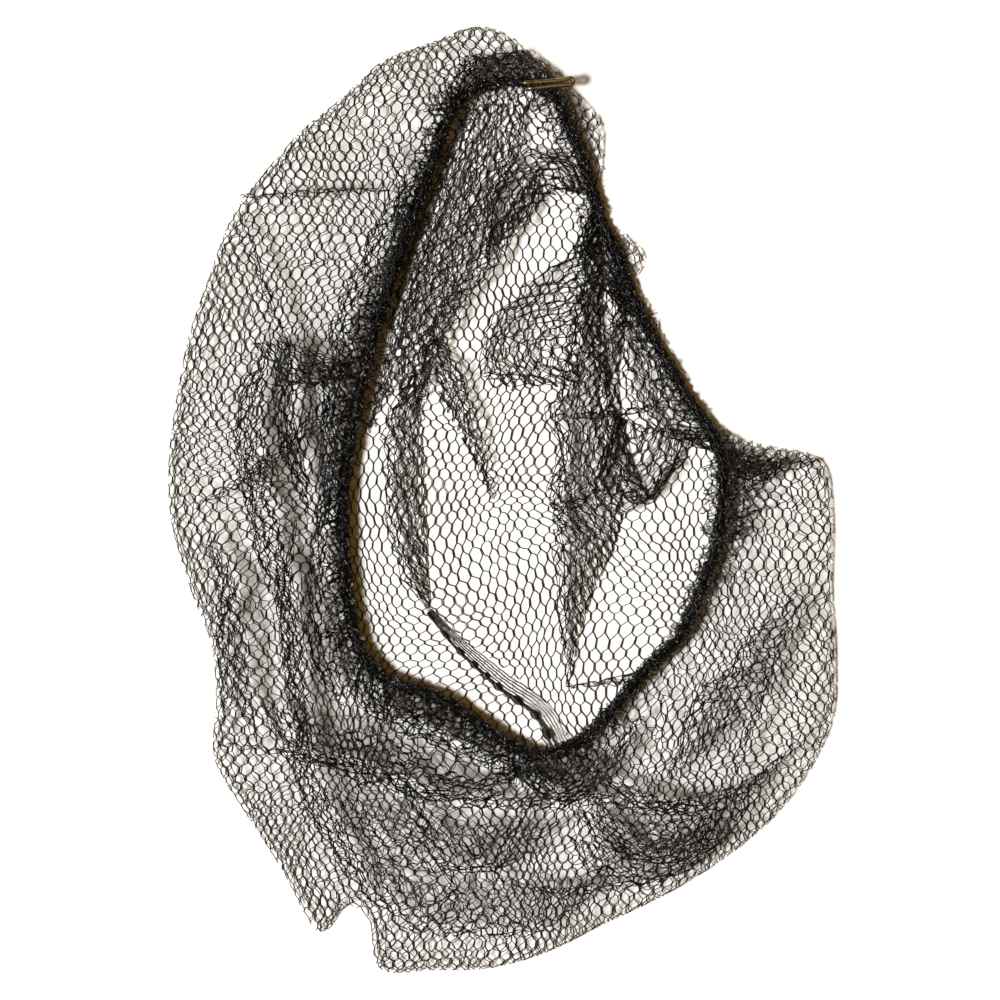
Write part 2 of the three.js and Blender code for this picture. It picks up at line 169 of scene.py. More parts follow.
LOWER_PULLS = (
    Pull(1.5, -18, 28, 26, 0, 1, 1),
    Pull(36, -32, 30, 0, 28, 1.2, 0.85),
    Pull(-46, -30, 22, 0, 90, 1.1, 0.78),
    Pull(12, 72, 24, 4, 90, 1.2, 0.86),
    Pull(12, 33, 11, 0, 0, 1.15, 0.72),
    Pull(-50, -90, 30, 0, 0, 0.8, 0.8),
    Pull(0, -112, 30, 0, 0, 0.8, 0.8),
    Pull(45, -92, 28, 0, 0, 0.8, 0.8),
    Pull(75, -50, 26, 0, 0, 0.85, 0.85),
)
UPPER_PULLS = (
    Pull(-57, 30, 15, 0, 0, 0.55, 0.55),
    Pull(-58, 6, 13, 10, 0, 0.6, 0.6),
    Pull(18, -82, 13, 0, 0, 0.5, 0.55),
    Pull(-40, -58, 12, 0, 0, 0.6, 0.6),
    Pull(72, 8, 9, 0, 0, 0.6, 0.6),
    Pull(-30, 100, 10, 0, 0, 0.7, 0.7),
    Pull(-58, -88, 30, -8, 0, 0.75, 0.75),
    Pull(-22, -104, 28, 6, 0, 0.75, 0.75),
    Pull(20, -110, 28, 0, 0, 0.76, 0.76),
    Pull(56, -84, 28, 6, 0, 0.72, 0.72),
    Pull(76, -48, 28, 12, 0, 0.8, 0.8),
)

SEAM_LINE = ((-21.3, -33.6), (-12.4, -43.5), (-5.6, -49.5), (0.6, -54.8), (12.3, -63.6), (18.6, -75.4))
CLIP_LINE = (
    (6.6, 124.0), (11.0, 124.3), (15.0, 124.6), (19.2, 125.0), (21.0, 125.4), (22.0, 124.7),
    (21.4, 123.6), (19.6, 123.5), (15.6, 123.1), (12.0, 122.7), (8.1, 122.3),
)


def smooth(rows: np.ndarray, steps: int, closed: bool) -> np.ndarray:
    """Runs a centripetal Catmull-Rom curve through the rows of a table that starts with X and Y.

    Each span between two rows is a cubic whose end slopes come from the neighbouring rows, spaced by the
    square root of their distance.

    Args:
        rows: Table of shape (rows, columns).
        steps: Points made for each span.
        closed: Whether the last row joins the first.

    Returns:
        Points of shape (spans * steps, columns), with one more that ends an open curve.
    """
    if closed:
        padded = np.concatenate([rows[-1:], rows, rows[:2]])
    else:
        padded = np.concatenate([2 * rows[:1] - rows[1:2], rows, 2 * rows[-1:] - rows[-2:-1]])
    before, start, end, after = padded[:-3], padded[1:-2], padded[2:-1], padded[3:]
    steps_between = ((before, start), (start, end), (end, after))
    knot = [np.sqrt(np.linalg.norm((b - a)[:, :2], axis=1))[:, None] for a, b in steps_between]
    slope = (start - before) / knot[0] - (end - before) / (knot[0] + knot[1]) + (end - start) / knot[1]
    slope_end = (end - start) / knot[1] - (after - start) / (knot[1] + knot[2]) + (after - end) / knot[2]
    slope, slope_end = slope * knot[1], slope_end * knot[1]
    share = (np.arange(steps) / steps)[None, :, None]
    start, end, slope, slope_end = (part[:, None] for part in (start, end, slope, slope_end))
    curve = (
        start
        + slope * share
        + (3 * (end - start) - 2 * slope - slope_end) * share**2
        + (2 * (start - end) + slope + slope_end) * share**3
    )
    curve = curve.reshape(-1, rows.shape[1])
    return curve if closed else np.concatenate([curve, rows[-1:]])


def ripple(points: np.ndarray, wavelength: float, seed: int, waves: int = 10) -> np.ndarray:
    """Gives a smooth, even unevenness over the plan: sine waves of seeded headings, summed.

    Each wave is 0.7 to 1.5 times as long as the middle one.

    Args:
        points: Plan points of shape (n, 2).
        wavelength: Middle wavelength of the waves.
        seed: Seed of their headings and phases.
        waves: Number of waves.

    Returns:
        Two unlike waves of about unit size at each point, of shape (n, 2).
    """
    chance = np.random.default_rng(seed)
    heading = chance.uniform(0, FULL_TURN, waves)
    number = FULL_TURN / (wavelength * chance.uniform(0.7, 1.5, waves))
    phase = chance.uniform(0, FULL_TURN, (2, waves))
    place = points @ (np.stack([np.cos(heading), np.sin(heading)]) * number)
    total = np.stack([np.sin(place + phase[0]).sum(1), np.sin(place + phase[1]).sum(1)], axis=1)
    return total / math.sqrt(waves / 2)


def unit(vectors: np.ndarray) -> np.ndarray:
    """Gives vectors, on the last axis, a length of one."""
    return vectors / np.linalg.norm(vectors, axis=-1, keepdims=True)


class Place(NamedTuple):
    """Nearest place on a line in plan, for each of many points."""

    distance: np.ndarray
    side: np.ndarray
    along: np.ndarray
    right: np.ndarray
    foot: np.ndarray


def nearest(points: np.ndarray, line: np.ndarray) -> Place:
    """Finds the nearest place of a line to each point, by dropping a perpendicular on each of its spans.

    Args:
        points: Plan points of shape (n, 2).
        line: Corners of the line, of shape (m, 2).

    Returns:
        Distance, signed side distance (right is positive), place along the line counted in corners, the
        line's right side and the nearest point.
    """
    start, span = line[:-1], np.diff(line, axis=0)
    length = np.linalg.norm(span, axis=1)
    forward = span / length[:, None]
    parts = []
    for part in np.array_split(points, 1 + points.shape[0] * len(start) // PAIRS_AT_ONCE):
        offset = part[:, None] - start
        run = np.clip((offset * forward).sum(2), 0, length)
        gap = offset - run[..., None] * forward
        chosen = (gap**2).sum(2).argmin(1)
        row = np.arange(len(part))
        gap, run, ahead = gap[row, chosen], run[row, chosen], forward[chosen]
        right = np.stack([ahead[:, 1], -ahead[:, 0]], axis=1)
        distance = np.linalg.norm(gap, axis=1)
        side = np.where((gap * right).sum(1) < 0, -distance, distance)
        foot = start[chosen] + run[:, None] * ahead
        parts.append((distance, side, chosen + run / length[chosen], right, foot))
    return Place(*(np.concatenate(column) for column in zip(*parts)))


def pull(points: np.ndarray, patch: Pull) -> np.ndarray:
    """Turns and stretches netting round a patch's centre, fading out as a bell curve of the distance.

    Args:
        points: Plan points of shape (n, 2).
        patch: The patch.

    Returns:
        The points after the pull.
    """
    turn, heading = math.radians(patch.turn), math.radians(patch.heading)
    axis = np.array([[math.cos(heading), math.sin(heading)], [-math.sin(heading), math.cos(heading)]])
    rotation = np.array([[math.cos(turn), -math.sin(turn)], [math.sin(turn), math.cos(turn)]])
    change = rotation @ axis.T @ np.diag([patch.along, patch.across]) @ axis - np.eye(2)
    offset = points - np.array([patch.x, patch.y])
    weight = np.exp(-(offset**2).sum(1) / patch.radius**2)
    return points + weight[:, None] * (offset @ change.T)


@dataclass
class Weave:
    """Hexagonal knitted net, as strands that run side by side up each upright and part above it."""

    wale: float = 3.3
    course: float = 3.0
    upright: float = 1.75
    strand_gap: float = 0.11

    def strands(self, columns: int, courses: int) -> np.ndarray:
        """Lays out the strands on the net's own plane.

        Strands come in two families. One steps right after an even course and left after an odd one, the
        other the opposite way, so that each upright holds a strand of both.

        Args:
            columns: Number of strands in each family.
            courses: Number of courses along each strand.

        Returns:
            Points of shape (2 * columns, 3 * courses, 2): the foot and head of each upright, and the middle
            of the slant above it.
        """
        column = np.arange(columns)[None, :, None]
        family = np.array([1, -1])[:, None, None]
        odd = (np.arange(courses + 1) % 2)[None, None, :]
        across = (column + 0.5 * family * odd) * self.wale + family * (1 - 2 * odd) * self.strand_gap
        up = np.broadcast_to(np.arange(courses + 1) * self.course, across.shape)
        foot = np.stack([across, up], axis=3)[:, :, :-1]
        head = foot + np.array([0, self.upright])
        following = np.stack([across, up], axis=3)[:, :, 1:]
        strands = np.stack([foot, head, (head + following) / 2], axis=3)
        return strands.reshape(2 * columns, 3 * courses, 2)

    def sheet(self, width: float, length: float, turn: float) -> np.ndarray:
        """Lays out a sheet of net about the middle of its plane, turned by some degrees.

        Args:
            width: Size across, before it is turned.
            length: Size along the strands.
            turn: Turn to the left, in degrees.

        Returns:
            Points of shape (strands, points, 2).
        """
        strands = self.strands(int(width / self.wale) + 1, int(length / self.course) + 1)
        strands = strands - np.array([width, length]) / 2
        angle = math.radians(turn)
        return strands @ np.array([[math.cos(angle), math.sin(angle)], [-math.sin(angle), math.cos(angle)]])


@dataclass
class Strands:
    """Many strands end to end: their points, the number of the strand each is on, and its thickness."""

    points: np.ndarray
    number: np.ndarray
    radius: np.ndarray

    def picked(self, chosen: np.ndarray) -> "Strands":
        """Takes the chosen points only."""
        return Strands(self.points[chosen], self.number[chosen], self.radius[chosen])

    def moved(self, shift: np.ndarray) -> "Strands":
        """Moves the strands by a shift in plan."""
        return Strands(self.points + np.append(shift, 0.0), self.number, self.radius)


def joined(parts: list[Strands]) -> Strands:
    """Puts several bundles of strands together, numbered on from each other.

    Args:
        parts: The bundles.

    Returns:
        All their strands as one bundle.
    """
    numbers, start = [], 0
    for part in parts:
        numbers.append(part.number + start)
        start += int(part.number.max()) + 1
    return Strands(
        np.concatenate([part.points for part in parts]),
        np.concatenate(numbers),
        np.concatenate([part.radius for part in parts]),
    )


def to_the_edge(kept: np.ndarray) -> np.ndarray:
    """Adds to the kept points of each strand the next one at either end, which is then put on the edge.

    Args:
        kept: Which points are kept, of shape (strands, points).

    Returns:
        The same, with the points beside them.
    """
    longer = kept.copy()
    longer[:, 1:] |= kept[:, :-1]
    longer[:, :-1] |= kept[:, 1:]
    return longer


def cut_out(kept: np.ndarray, points: np.ndarray, radius: float) -> Strands:
    """Makes strands of the kept points, each stretch of neighbours a strand of its own.

    Args:
        kept: Which points are kept, of shape (strands, points).
        points: All the points, of shape (strands * points, 3).
        radius: Radius of the strands.

    Returns:
        The strands.
    """
    starts = kept.copy()
    starts[:, 1:] &= ~kept[:, :-1]
    number = np.cumsum(starts.ravel()) - 1
    chosen = kept.ravel()
    return Strands(points[chosen], number[chosen], np.full(int(chosen.sum()), radius))


def lines_to_strands(lines: np.ndarray, radius: float) -> Strands:
    """Takes lines of shape (lines, points, 3) as strands of one radius.

    Args:
        lines: Points along each line.
        radius: Radius of the strands.

    Returns:
        The strands.
    """
    number = np.repeat(np.arange(len(lines)), lines.shape[1])
    points = lines.reshape(-1, 3)
    return Strands(points, number, np.full(len(points), radius))


class Shape(NamedTuple):
    """A mesh of quads as arrays, with the way each vertex lies along and around its strand."""

    vertices: np.ndarray
    quads: np.ndarray
    lay: np.ndarray


def thread(strands: Strands, sides: int = 4, closed: bool = False) -> Shape:
    """Gives each strand a round section, carried along its points, with closed ends.

    A vertex is the strand's point plus the radius times the cosine and sine of its angle along two arms
    square to the strand, one of them level.

    Args:
        strands: The strands, in millimetres.
        sides: Number of sides of the section, 4 where the ends are closed.
        closed: Whether the only strand is a ring that joins its own start.

    Returns:
        The mesh, in metres.
    """
    points, number, count = strands.points, strands.number, len(strands.points)
    index = np.arange(count)
    after, before = (index + 1) % count, (index - 1) % count
    if not closed:
        after = np.where(number[after] == number, after, index)
        after[-1] = count - 1
        before = np.where(number[before] == number, before, index)
        before[0] = 0
    ahead = points[after] - points[before]
    ahead /= np.maximum(np.linalg.norm(ahead, axis=1, keepdims=True), 1e-9)
    # Nearly upright, so that no strand runs exactly along it
    upright = np.array([0.013, 0.007, 1.0])
    level = np.cross(ahead, upright)
    level /= np.maximum(np.linalg.norm(level, axis=1, keepdims=True), 1e-9)
    upward = np.cross(ahead, level)
    angle = FULL_TURN * (np.arange(sides) + 0.5) / sides
    arm = np.cos(angle)[None, :, None] * level[:, None] + np.sin(angle)[None, :, None] * upward[:, None]
    vertices = (points[:, None] + strands.radius[:, None, None] * arm).reshape(-1, 3)
    side = np.arange(sides)
    beside = (side + 1) % sides
    linked = index if closed else index[after != index]
    start, end = linked[:, None] * sides, after[linked][:, None] * sides
    quads = [np.stack([start + side, start + beside, end + beside, end + side], axis=2).reshape(-1, 4)]
    if not closed:
        first, last = index[before == index], index[after == index]
        quads.append(first[:, None] * sides + side[::-1])
        quads.append(last[:, None] * sides + side)
    run = np.cumsum(np.linalg.norm(points - points[before], axis=1))
    lay = np.stack(np.broadcast_arrays(run[:, None], np.cos(angle), np.sin(angle)), axis=2).reshape(-1, 3)
    return Shape(vertices * MILLIMETRE, np.concatenate(quads), lay)


@dataclass(frozen=True)
class Flap:
    """A loose fold of netting that lies over to one side: two flanks that hang together at its crest.

    A flank is the fullness times as long as the fold leans, and the seam at its foot is added to it.
    """

    fullness: float
    stations: tuple[Station, ...]
    turn: float = 0.0
    seam: float = 0.6
    margin: float = 8.0
    steps: int = 8
    foot_height: float = 0.45
    least_height: float = 0.1
    crumple: float = 0.55
    crumple_height: float = 0.25
    crumple_wave: float = 6.0
    sway: float = 0.06
    sway_wave: float = 14.0

    def strands(self, weave: Weave, height_at: HeightAt, radius: float, seed: int) -> Strands:
        """Lays a strip of net from the foot over the crest and back to the foot.

        A point stands out from the foot by the lean times the eased share of the way up its flank, which is
        0.4 of the share and 0.6 of the sine of a quarter turn of it. The upper flank is bowed up by a
        parabola, and the lower one hangs under it by another. The netting is crumpled less near the foot,
        over the first third of its flank.

        Args:
            weave: The net that the strip is of.
            height_at: Gives the height of the layer under the fold at points in plan.
            radius: Radius of the strands.
            seed: Seed of the strip's unevenness.

        Returns:
            The strip's strands.
        """
        line = smooth(np.array(self.stations, dtype=float), self.steps, closed=False)
        run = np.r_[0, np.cumsum(np.linalg.norm(np.diff(line[:, :2], axis=0), axis=1))]
        length = run[-1]
        ahead = unit(np.gradient(line[:, :2], axis=0))
        widest = self.fullness * np.abs(line[:, 2]).max() + self.seam
        # A turned sheet has to be larger to cover the strip
        spread = widest + 0.5 * length if self.turn else widest
        longer = 2 * widest if self.turn else 0
        plane = weave.sheet(2 * spread + self.margin, length + self.margin + longer, self.turn)
        across, along = plane[..., 0], plane[..., 1] + length / 2
        columns = (*line.T, *ahead.T)
        x, y, lean, height, ahead_x, ahead_y = (np.interp(along, run, column) for column in columns)
        flank = self.fullness * np.abs(lean) + self.seam
        kept = to_the_edge((np.abs(across) < flank) & (along > 0) & (along < length))
        share = 1 - np.minimum(np.abs(across) / flank, 1)
        eased = 0.4 * share + 0.6 * np.sin(math.pi / 2 * share)
        strip = np.stack([across, along], axis=-1).reshape(-1, 2)
        crumple = ripple(strip, self.crumple_wave, seed).reshape(*across.shape, 2)
        crumple = crumple * np.minimum(share * 3, 1)[..., None]
        sway = ripple(strip, self.sway_wave, seed + 1)[:, 0].reshape(across.shape)
        out = lean * eased * (1 + self.sway * sway)
        plan = np.stack([x + ahead_y * out, y - ahead_x * out], axis=-1) + self.crumple * crumple
        bow = np.where(across * lean < 0, 1 - (1 - share) ** 2, share**2)
        rise = self.foot_height + height * bow + self.crumple_height * crumple[..., 0]
        plan = plan.reshape(-1, 2)
        z = height_at(plan) + np.maximum(rise.ravel(), self.least_height)
        return cut_out(kept, np.column_stack([plan, z]), radius)


def fold(fullness: float, *rows: tuple[float, ...], turn: float = 0.0) -> Flap:
    """Makes a fold from its fullness and the rows of its stations, which Station names the columns of."""
    return Flap(fullness, tuple(Station(*row) for row in rows), turn)


# Folds of the lower layer, inside the elastic. Their order sets their seeds.
INNER_FOLDS = {
    "top pleat left": fold(
        2, (-10, 118, -4.5, 2), (-15, 104.7, -5, 4), (-21.5, 89.7, -5.4, 5), (-27, 74.7, -5, 5),
        (-32, 56.7, -4.6, 4), (-34, 44.7, -4, 3), (-37, 32, -3, 3), (-39, 22),
    ),
    "top pleat middle": fold(
        1.9, (-3, 119.5, -5, 2), (-7.5, 107.7, -6, 4), (-15, 91.2, -6.6, 5), (-22.8, 74.7, -6, 5),
        (-28.5, 56.7, -5, 5), (-30.6, 39.3, -3.6, 4), (-29.4, 28.2),
    ),
    "top pleat right": fold(
        1.9, (4.5, 119.5, -4, 2), (-0.5, 105.5, -6.5, 4), (-9, 88.2, -7, 6), (-18, 71.7, -7, 6),
        (-24, 53.7, -6, 6), (-26.4, 38.1, -4.2, 5), (-24.6, 23.7),
    ),
    "window band": fold(
        1.5, (27.5, 88), (24, 91.5, 5, 4), (17.6, 91.5, 13, 6), (8.4, 85.5, 14, 6), (1.5, 78.6, 9, 5),
        (-4, 72),
    ),
    "crown fold": fold(
        1.8, (12, 100), (6, 91.2, -6, 5), (-4.2, 78.6, -7, 7), (-12.6, 66.3, -7, 7), (-19, 56.1, -6, 7),
        (-22.5, 46, -5, 6), (-24, 36, -3, 5), (-24.6, 28),
    ),
    "crown tip": fold(
        1.8, (-18.6, 48), (-19.2, 40.8, -6, 5), (-18.3, 31.5, -8.4, 6), (-12.9, 20.7, -6, 6),
        (-7.8, 11.4, -3.6, 4), (-2.1, 0),
    ),
    "right column": fold(
        1.9, (30, 92.4), (30.6, 80, 7.2, 6), (30.6, 64, 7.8, 6), (31.5, 48, 6.6, 6), (33, 30),
    ),
    "right bunch": fold(
        2.4, (28.8, 87.3), (31.2, 80.1, 7.8, 7), (33.6, 72.3, 9, 8), (36, 63.9, 6, 6), (40.2, 54.3),
    ),
    "patch fold": fold(
        0.85, (26.4, 78.9), (26.4, 74, 6, 3), (25.8, 67, 13, 5), (25, 58, 21, 6), (24, 50, 28, 5),
        (23.4, 43, 29, 3), (23.4, 37, 26, 1), (23.4, 34, 24, 0), turn=25,
    ),
    "right edge": fold(
        1.3, (36.6, 76), (40.5, 64, 9, 5), (45, 52.5, 12, 6), (50, 43, 14, 6), (56, 32.5, 16, 6),
        (61, 23, 12, 5), (64, 14),
    ),
    "inner flap": fold(
        1.9, (37.8, 59.7), (36.6, 47.7, 5.4, 5), (35.4, 34.2, 6.6, 6), (37.2, 20.7, 7.2, 6),
        (40.8, 8.7, 5.4, 5), (45, -0.3),
    ),
    "side loop": fold(
        1.1, (35, 25, 10, 4), (37.5, 24, 21, 6), (40.5, 22.5, 25, 8), (44, 21.5, 25, 8), (48, 21, 20, 7),
        (54, 21, 10, 4), (60, 20, 2, 1), turn=75,
    ),
    "big flap": fold(
        1.6, (31.2, 71.1), (30.6, 59.7, 7.8, 6), (30, 46.2, 9, 7), (30, 34.2, 12.6, 8),
        (30.9, 20.7, 15.6, 9), (34.8, 8.7, 19.8, 9), (36.8, -1.8, 21.8, 9), (34.6, -13.5, 19, 8),
        (29.4, -24.3, 13.8, 7), (24.6, -37.8, 6.9, 5), (22.2, -48.3, 3, 4), (21, -57.3),
    ),
    "seam fold": fold(
        1.7, (-25.8, 38.1), (-24.6, 26.7, 9, 5), (-23.4, 14.7, 10.8, 6), (-22.5, -0.3, 11.4, 6),
        (-21.9, -13.8, 10.2, 6), (-21.6, -24.3, 6.6, 5), (-21, -33.9),
    ),
    "tip crease": fold(
        1.6, (21, -56.1), (30, -54.3, 1.8, 2), (42, -51.3, 1.8, 2), (50.4, -45.3),
    ),
    "flap crease": fold(
        1.5, (15.6, 25.2), (27, 26.1, 2.1, 2), (39, 27.3, 2.1, 2), (50.4, 29.7),
    ),
    "loop crease": fold(
        2.4, (34.5, 6), (37.5, 0, -2.6, 3), (42, -1.8, -3, 4), (46.5, -0.6, -3, 4), (50, 6, -2.6, 3),
        (57, 13),
    ),
}
# Folds of the upper layer, between the elastic and the rim
OUTER_FOLDS = {
    "left arm": fold(
        1.8, (-77, 86), (-71, 68, 1.5, 1.5), (-65, 52, 1.5, 1.5), (-62, 44),
    ),
    "top left crease": fold(
        1.8, (-77, 90), (-62, 91.5, 1.5, 1.5), (-46, 92.5, 1.6, 1.5), (-30, 91.5),
    ),
    "left crease": fold(
        2, (-91.5, -3), (-80, 5, 2, 1.5), (-66, 16, 4, 2.5), (-55, 27, 5, 3), (-48, 33),
    ),
    "left knot": fold(
        1.9, (-74, 46), (-66, 47, 8, 3), (-58, 45, 11, 3.5), (-50, 42, 9, 3), (-44, 40),
    ),
    "left bunch outer": fold(
        2.8, (-62.4, 48), (-61.8, 37.2, 5, 3), (-61, 24, 5.5, 3), (-58, 10, 5, 3), (-57, -4),
    ),
    "left bunch inner": fold(
        2.8, (-56, 44), (-53, 32, -4.5, 3), (-53.5, 18, -5, 3), (-54, 2, -5, 3), (-56, -14),
    ),
    "beside elastic": fold(
        2.2, (-50, 6), (-52, -14, 4, 2.5), (-53, -34, 4.5, 2.5), (-52, -50, 3.5, 2), (-46, -62),
    ),
    "left upright": fold(
        1.8, (-60, -4), (-62, -24, 3, 2), (-61, -46, 3, 2), (-60, -70),
    ),
    "left tuck": fold(
        1.5, (-88, -8), (-80, -22, 5, 2.5), (-76, -40, 6, 3), (-74, -58, 5, 2.5), (-72, -74),
    ),
    "left low tuck": fold(
        1.6, (-66, -14), (-66, -30, -6, 3), (-65, -48, -7, 3), (-62, -64, -5, 2.5), (-56, -78),
    ),
    "bottom right tuck": fold(
        1.5, (22, -92), (34, -95, 9, 3), (46, -96, 13, 3.5), (58, -93, 12, 3), (70, -87, 7, 2), (80, -80),
    ),
    "left slack": fold(
        2, (-70, 44), (-70, 30, 8, 3), (-68, 14, 10, 3.5), (-66, -2, 9, 3.5), (-64, -20, 7, 3), (-64, -36),
    ),
    "low left slack": fold(
        1.5, (-72, -58), (-62, -64, 9, 3), (-48, -68, 13, 3.5), (-30, -72, 13, 3.5), (-12, -82, 9, 3),
        (2, -88),
    ),
    "low left drop": fold(
        1.6, (-58, -62), (-56, -76, 6, 2.5), (-50, -92, 7, 3), (-42, -108, 5, 2.5), (-38, -122),
    ),
    "bottom right low tuck": fold(
        1.2, (20, -100), (32, -103, 9, 3), (44, -103, 11, 3), (56, -98, 9, 3), (66, -92),
    ),
    "bottom middle tuck": fold(
        0.8, (-52, -86), (-38, -91, 13, 3), (-20, -94, 16, 3.5), (0, -97, 14, 3), (18, -96),
    ),
    "tuck at the bottom rim": fold(
        0.8, (-42, -106), (-30, -112, 12, 2.5), (-8, -116, 14, 3), (14, -115, 12, 2.5), (34, -108),
    ),
    "right tuck": fold(
        0.9, (88, -26), (84, -42, 8, 2.5), (76, -58, 13, 3), (64, -72, 12, 3), (50, -84),
    ),
    "low left upright": fold(
        1.7, (-76, -22), (-82, -36, 2.4, 2), (-81, -54, 2.4, 2), (-83, -72),
    ),
    "upper arm": fold(
        2.2, (-34, 106), (-31, 92, -3.5, 2), (-33, 76, -4, 2), (-38, 58, -3, 2), (-42, 44),
    ),
    "upper left bunch": fold(
        2, (-22, 100), (-30, 82, 6, 2.5), (-37, 64, 7, 3), (-43, 46, 8, 3), (-47, 28),
    ),
    "top bunch": fold(
        2.2, (-17, 112), (-9, 124, -5, 2.5), (4, 127, -6, 2.5), (14, 123.5, -3, 2), (22, 114),
    ),
    "low left crease": fold(
        1.7, (-29, -78), (-25.8, -87, 2.1, 2), (-17.1, -104.1, 2.1, 2), (-11.4, -122.7),
    ),
    "knot fold left": fold(
        2.2, (14, -80), (4, -84, 3, 2.5), (-10, -86, 2.4, 2), (-24, -82),
    ),
    "knot fold right": fold(
        2, (24, -78), (36, -84, 3.6, 3), (52, -90, 3.6, 3), (68, -92),
    ),
    "knot fan left": fold(
        1.7, (14, -82), (8, -94, 2.4, 2), (2, -106, 2.1, 2), (-2, -120),
    ),
    "knot fan right": fold(
        1.7, (26, -82), (32, -94, 2.1, 2), (38, -104, 1.8, 2), (42, -114),
    ),
    "low left bunch": fold(
        2, (-45, -48), (-36, -58, 6, 3), (-20, -63, 9, 3), (-6, -71, 8, 3), (6, -80),
    ),
    "knot bunch": fold(
        2.3, (4, -78), (12, -80, 8, 3), (22, -80, 9, 3), (33, -74, 4, 2), (42, -64),
    ),
    "bottom crease": fold(
        1.8, (-85.5, -72.3), (-63, -74.7, 1.8, 2), (-45, -78.3, 2.4, 3), (-21, -87.3, 2.4, 3),
        (6, -89.1, 2.7, 3), (30, -88, 2.7, 3), (45, -90.3, 2.7, 3), (72, -84.3, 2.4, 2), (90, -70.8),
    ),
    "bottom arc": fold(
        1.6, (-3.3, -111), (13.8, -115.8, 1.8, 1.5), (36, -114, 1.8, 1.5), (53.4, -110.4, 1.5, 1.5),
        (69, -99.3),
    ),
    "right knot": fold(
        2.3, (66, 15), (72, 14, 8, 3), (78, 13, 9, 3), (86, 12),
    ),
    "right crease": fold(
        2, (68, 8.7), (78, 10.5, 3, 2.5), (88, 11.4, 2.1, 2), (96, 11),
    ),
    "right upright": fold(
        1.5, (90, -30), (82, -50, 1.8, 1.5), (76, -66, 1.8, 1.5), (68, -88),
    ),
}


@dataclass
class Outline:
    """The net's plan: its elastic and its rim as closed curves, and what the sections say between them."""

    steps: int = 10
    ring: np.ndarray = field(init=False)
    rim: np.ndarray = field(init=False)
    table: np.ndarray = field(init=False)

    def __post_init__(self) -> None:
        """Runs smooth closed curves through the sections."""
        table = np.array(SECTIONS, dtype=float)
        ring = smooth(table[:, :2], self.steps, closed=True)
        rim = smooth(table[:, 2:4], self.steps, closed=True)
        self.ring = np.concatenate([ring, ring[:1]])
        self.rim = np.concatenate([rim, rim[:1]])
        self.table = np.concatenate([table, table[:1]])

    def shift(self) -> np.ndarray:
        """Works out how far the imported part's frame lies from the tables', from the box of its elastic.

        Returns:
            The shift in plan, in millimetres.
        """
        low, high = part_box("elastic")
        middle = (np.array(low[:2]) + np.array(high[:2])) / (2 * MILLIMETRE)
        return middle - (self.ring.min(0) + self.ring.max(0)) / 2

    def read(self, measure: Measure, along: np.ndarray) -> np.ndarray:
        """Reads a measure of the sections at places along the elastic or the rim, counted in corners."""
        return np.interp(along / self.steps, np.arange(len(self.table)), self.table[:, measure.value])


@dataclass(frozen=True)
class Dye:
    """A colour written as sRGB hex digits."""

    digits: str

    def linear(self) -> tuple[float, float, float, float]:
        """Turns the colour to linear light, by the sRGB curve.

        Returns:
            Red, green, blue and an alpha of one.
        """
        parts = [int(self.digits[place:place + 2], 16) / 255 for place in (1, 3, 5)]
        red, green, blue = (p / 12.92 if p <= 0.04045 else ((p + 0.055) / 1.055) ** 2.4 for p in parts)
        return red, green, blue, 1.0


def add(
    tree: bpy.types.NodeTree, kind: str, inputs: dict[str | int, object], **settings: object
) -> bpy.types.Node:
    """Adds a node with its settings, and gives its inputs their values or links.

    Args:
        tree: Node tree of the material.
        kind: Node type.
        inputs: Value or linked output socket of each input, by its name or place.
        **settings: Properties of the node.

    Returns:
        The new node.
    """
    node = tree.nodes.new(kind)
    for name, value in settings.items():
        setattr(node, name, value)
    for name, value in inputs.items():
        if isinstance(value, bpy.types.NodeSocket):
            tree.links.new(value, node.inputs[name])
        else:
            node.inputs[name].default_value = value
    return node


def blank(name: str) -> tuple[bpy.types.Material, bpy.types.NodeTree]:
    """Makes a material whose node tree is empty.

    Args:
        name: Name of the material.

    Returns:
        The material and its node tree.
    """
    material = bpy.data.materials.new(name)
    material.use_nodes = True
    material.node_tree.nodes.clear()
    return material, material.node_tree


def per_metre(size_mm: float) -> float:
    """Gives the scale of a noise whose features have this size."""
    return 1 / (size_mm * MILLIMETRE)


